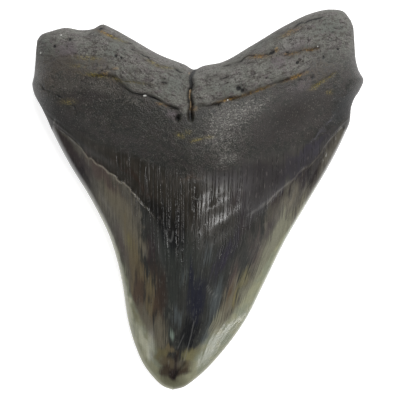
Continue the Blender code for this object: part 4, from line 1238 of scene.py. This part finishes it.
def fossil_colour(finish, p):
    """The zones' colours, then the root's stains, then what lies in and on them, with some painted highlights
    and painted shade, later coats on top.
    """
    mark, mix = finish.mark, finish.mix
    root, smooth_root, neck = mark("root"), mark("smooth_root"), mark("neck")
    colour = finish.coated(
        crown_colour(finish, p),
        (neck, neck_colour(finish, p)),
        (smooth_root, smooth_root_colour(finish, p)),
        (root, root_colour(finish, p)),
    )
    blend = (p.mottle * 0.5 + p.speckle * 0.5).between(0.38, 0.62)
    colour = stained(finish, colour, ROOT_STAINS, 0.7, blend, 0.75)
    ochre = mix(p.mottle.between(0.4, 0.6), tone(132, 92, 46), tone(176, 138, 66))
    return finish.coated(
        colour,
        (smooth_root * p.grit * p.mottle.between(0.42, 0.56) * 0.75, tone(120, 116, 107)),
        # Painted highlight: bright glints over the painted sheen
        (mark("sheen") * p.glint * 0.85, tone(158, 156, 149)),
        # Darkened surrounds of the cracks: partly brown-black smudges, partly painted shade
        (mark("crack_shade_and_smudge") * p.speckle.between(0.30, 0.60) * 0.55, tone(50, 47, 38)),
        ((p.pore * (root + smooth_root * 0.5)).held() * 0.6, tone(44, 40, 37)),
        ((mark("crack") + (p.speckle - 0.5) * 0.8).between(0.3, 0.8), tone(28, 24, 19)),
        (mark("orange") * (0.15 + p.crumbs * 0.85), ochre),
        (mark("yellow") * (0.1 + p.crumbs * 0.9), tone(146, 130, 52)),
        (mark("tan_plug").between(0.3, 0.7) * (0.5 + p.crumbs * 0.5), tone(170, 146, 112)),
        (mark("pit").between(0.3, 0.7), tone(22, 20, 20)),
        (mark("dark_line") * 0.8, tone(30, 26, 25)),
        (mark("scratch") * 0.7, tone(120, 120, 118)),
        # Painted shade in the grooves between the crown's ridges
        (mark("ridged") * p.groove * 0.65, tone(36, 34, 32)),
        (neck * p.dash.between(0.60, 0.70) * 0.4, tone(120, 114, 110)),
        # Painted highlight: the pale line along the enamel's edges
        (mark("enamel_edge") * (0.3 + p.mottle * 0.7), tone(140, 134, 122)),
        (mark("speck").between(0.4, 0.7), tone(225, 225, 220)),
    )


def fossil_roughness(finish, p):
    """Satin, plus or minus what the marks change, and polished where the enamel is bare."""
    mark = finish.mark
    enamel = 1 - (mark("root") + mark("smooth_root") + mark("neck")).held()
    satin = SATIN + SATIN_MOTTLE * p.mottle
    for name, change in ROUGHER.items():
        satin = satin + mark(name) * change
    return satin + enamel * (ENAMEL - mark("polish") * POLISH - satin)


def fossil_normal(finish, p):
    """Normals of the fine grain: its height is each zone's mask times the sum of its patterns' heights."""
    height = (1 - finish.mark("root")) * p.fine_streak * STREAK_HEIGHT
    for zone, grains in FINE_GRAIN.items():
        height = height + finish.mark(zone) * sum(getattr(p, name) * rise for name, rise in grains.items())
    return finish.node("ShaderNodeBump", {}, Height=height, Distance=MILLIMETRE, Strength=1.0)


def fossil_finish():
    """The tooth's one material: rough grey root, satin neck and polished, stained enamel."""
    finish = Finish("fossil_tooth")
    p = patterns(finish)
    return finish.made({
        "Base Color": fossil_colour(finish, p),
        "Roughness": fossil_roughness(finish, p),
        "Normal": fossil_normal(finish, p),
    })


def put(name, data):
    """A new object in the scene that holds the data."""
    made = bpy.data.objects.new(name, data)
    bpy.context.scene.collection.objects.link(made)
    return made


def make_floor():
    """A wide lit sheet that the tooth lies on. It glows a little, so only a faint shadow shows on it."""
    half = FLOOR_SIZE / 2
    mesh = bpy.data.meshes.new("floor")
    corners = [(-half, -half, 0), (half, -half, 0), (half, half, 0), (-half, half, 0)]
    mesh.from_pydata(corners, [], [(0, 1, 2, 3)])
    mesh.materials.append(Finish("light_table").made({
        "Base Color": (0.5, 0.5, 0.5, 1.0),
        "Roughness": 0.9,
        "Emission Color": (1.0, 1.0, 1.0, 1.0),
        "Emission Strength": FLOOR_GLOW,
    }))
    floor = put("floor", mesh)


def make_sun(name, azimuth, elevation, strength, angle):
    """A soft far light. Azimuth 0 stands over +X and 90 over +Y, in degrees; angle is its width."""
    lamp = bpy.data.lights.new(name, "SUN")
    lamp.energy, lamp.angle = strength, math.radians(angle)
    put(name, lamp).rotation_euler = (0, math.radians(90 - elevation), math.radians(azimuth))


def make_softbox(name, place, aim, size, roll, spread, watts):
    """A rectangular light at a place, in metres, turned to what it lights and rolled by some degrees. A grid
    on it keeps its light within the angle `spread`, in degrees."""
    lamp = bpy.data.lights.new(name, "AREA")
    lamp.shape, lamp.size, lamp.size_y, lamp.energy = "RECTANGLE", *size, watts
    lamp.spread = math.radians(spread)
    light = put(name, lamp)
    light.location = place
    turned = (Vector(aim) - Vector(place)).to_track_quat("-Z", "Y")
    light.rotation_euler = (turned @ Quaternion((0, 0, 1), math.radians(roll))).to_euler()


def make_world():
    """A studio: dark overhead, brighter towards the walls all round."""
    world = bpy.data.worlds.new("studio")
    world.use_nodes = True
    nodes, links = world.node_tree.nodes, world.node_tree.links
    ray = nodes.new("ShaderNodeTexCoord")
    height = nodes.new("ShaderNodeSeparateXYZ")
    links.new(ray.outputs["Generated"], height.inputs[0])
    level = nodes.new("ShaderNodeMapRange")
    level.interpolation_type = "SMOOTHSTEP"
    links.new(height.outputs["Z"], level.inputs[0])
    for socket, value in zip(level.inputs[1:], (WALL_TOP, CEILING_FOOT, WALL_GLOW, CEILING_GLOW)):
        socket.default_value = value
    links.new(level.outputs[0], nodes["Background"].inputs["Strength"])
    nodes["Background"].inputs["Color"].default_value = (1.0, 1.0, 1.0, 1.0)
    bpy.context.scene.world = world


def make_camera():
    """Straight above the tooth, with the root at the top of the picture."""
    lens = bpy.data.cameras.new("camera")
    lens.lens, lens.sensor_width = CAMERA_LENS, CAMERA_SENSOR
    camera = put("camera", lens)
    camera.location = (*VIEW_CENTRE, OUTLINE_PLANE + FIELD * CAMERA_LENS / CAMERA_SENSOR)
    bpy.context.scene.camera = camera


make_camera()
make_floor()
make_sun("key", *KEY_SUN)
for name, softbox in SOFTBOXES.items():
    make_softbox(name, *softbox)
make_world()
bpy.context.scene.view_settings.view_transform = "Standard"

tooth = make_tooth(fossil_finish())
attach(tooth, "root")
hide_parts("tooth")
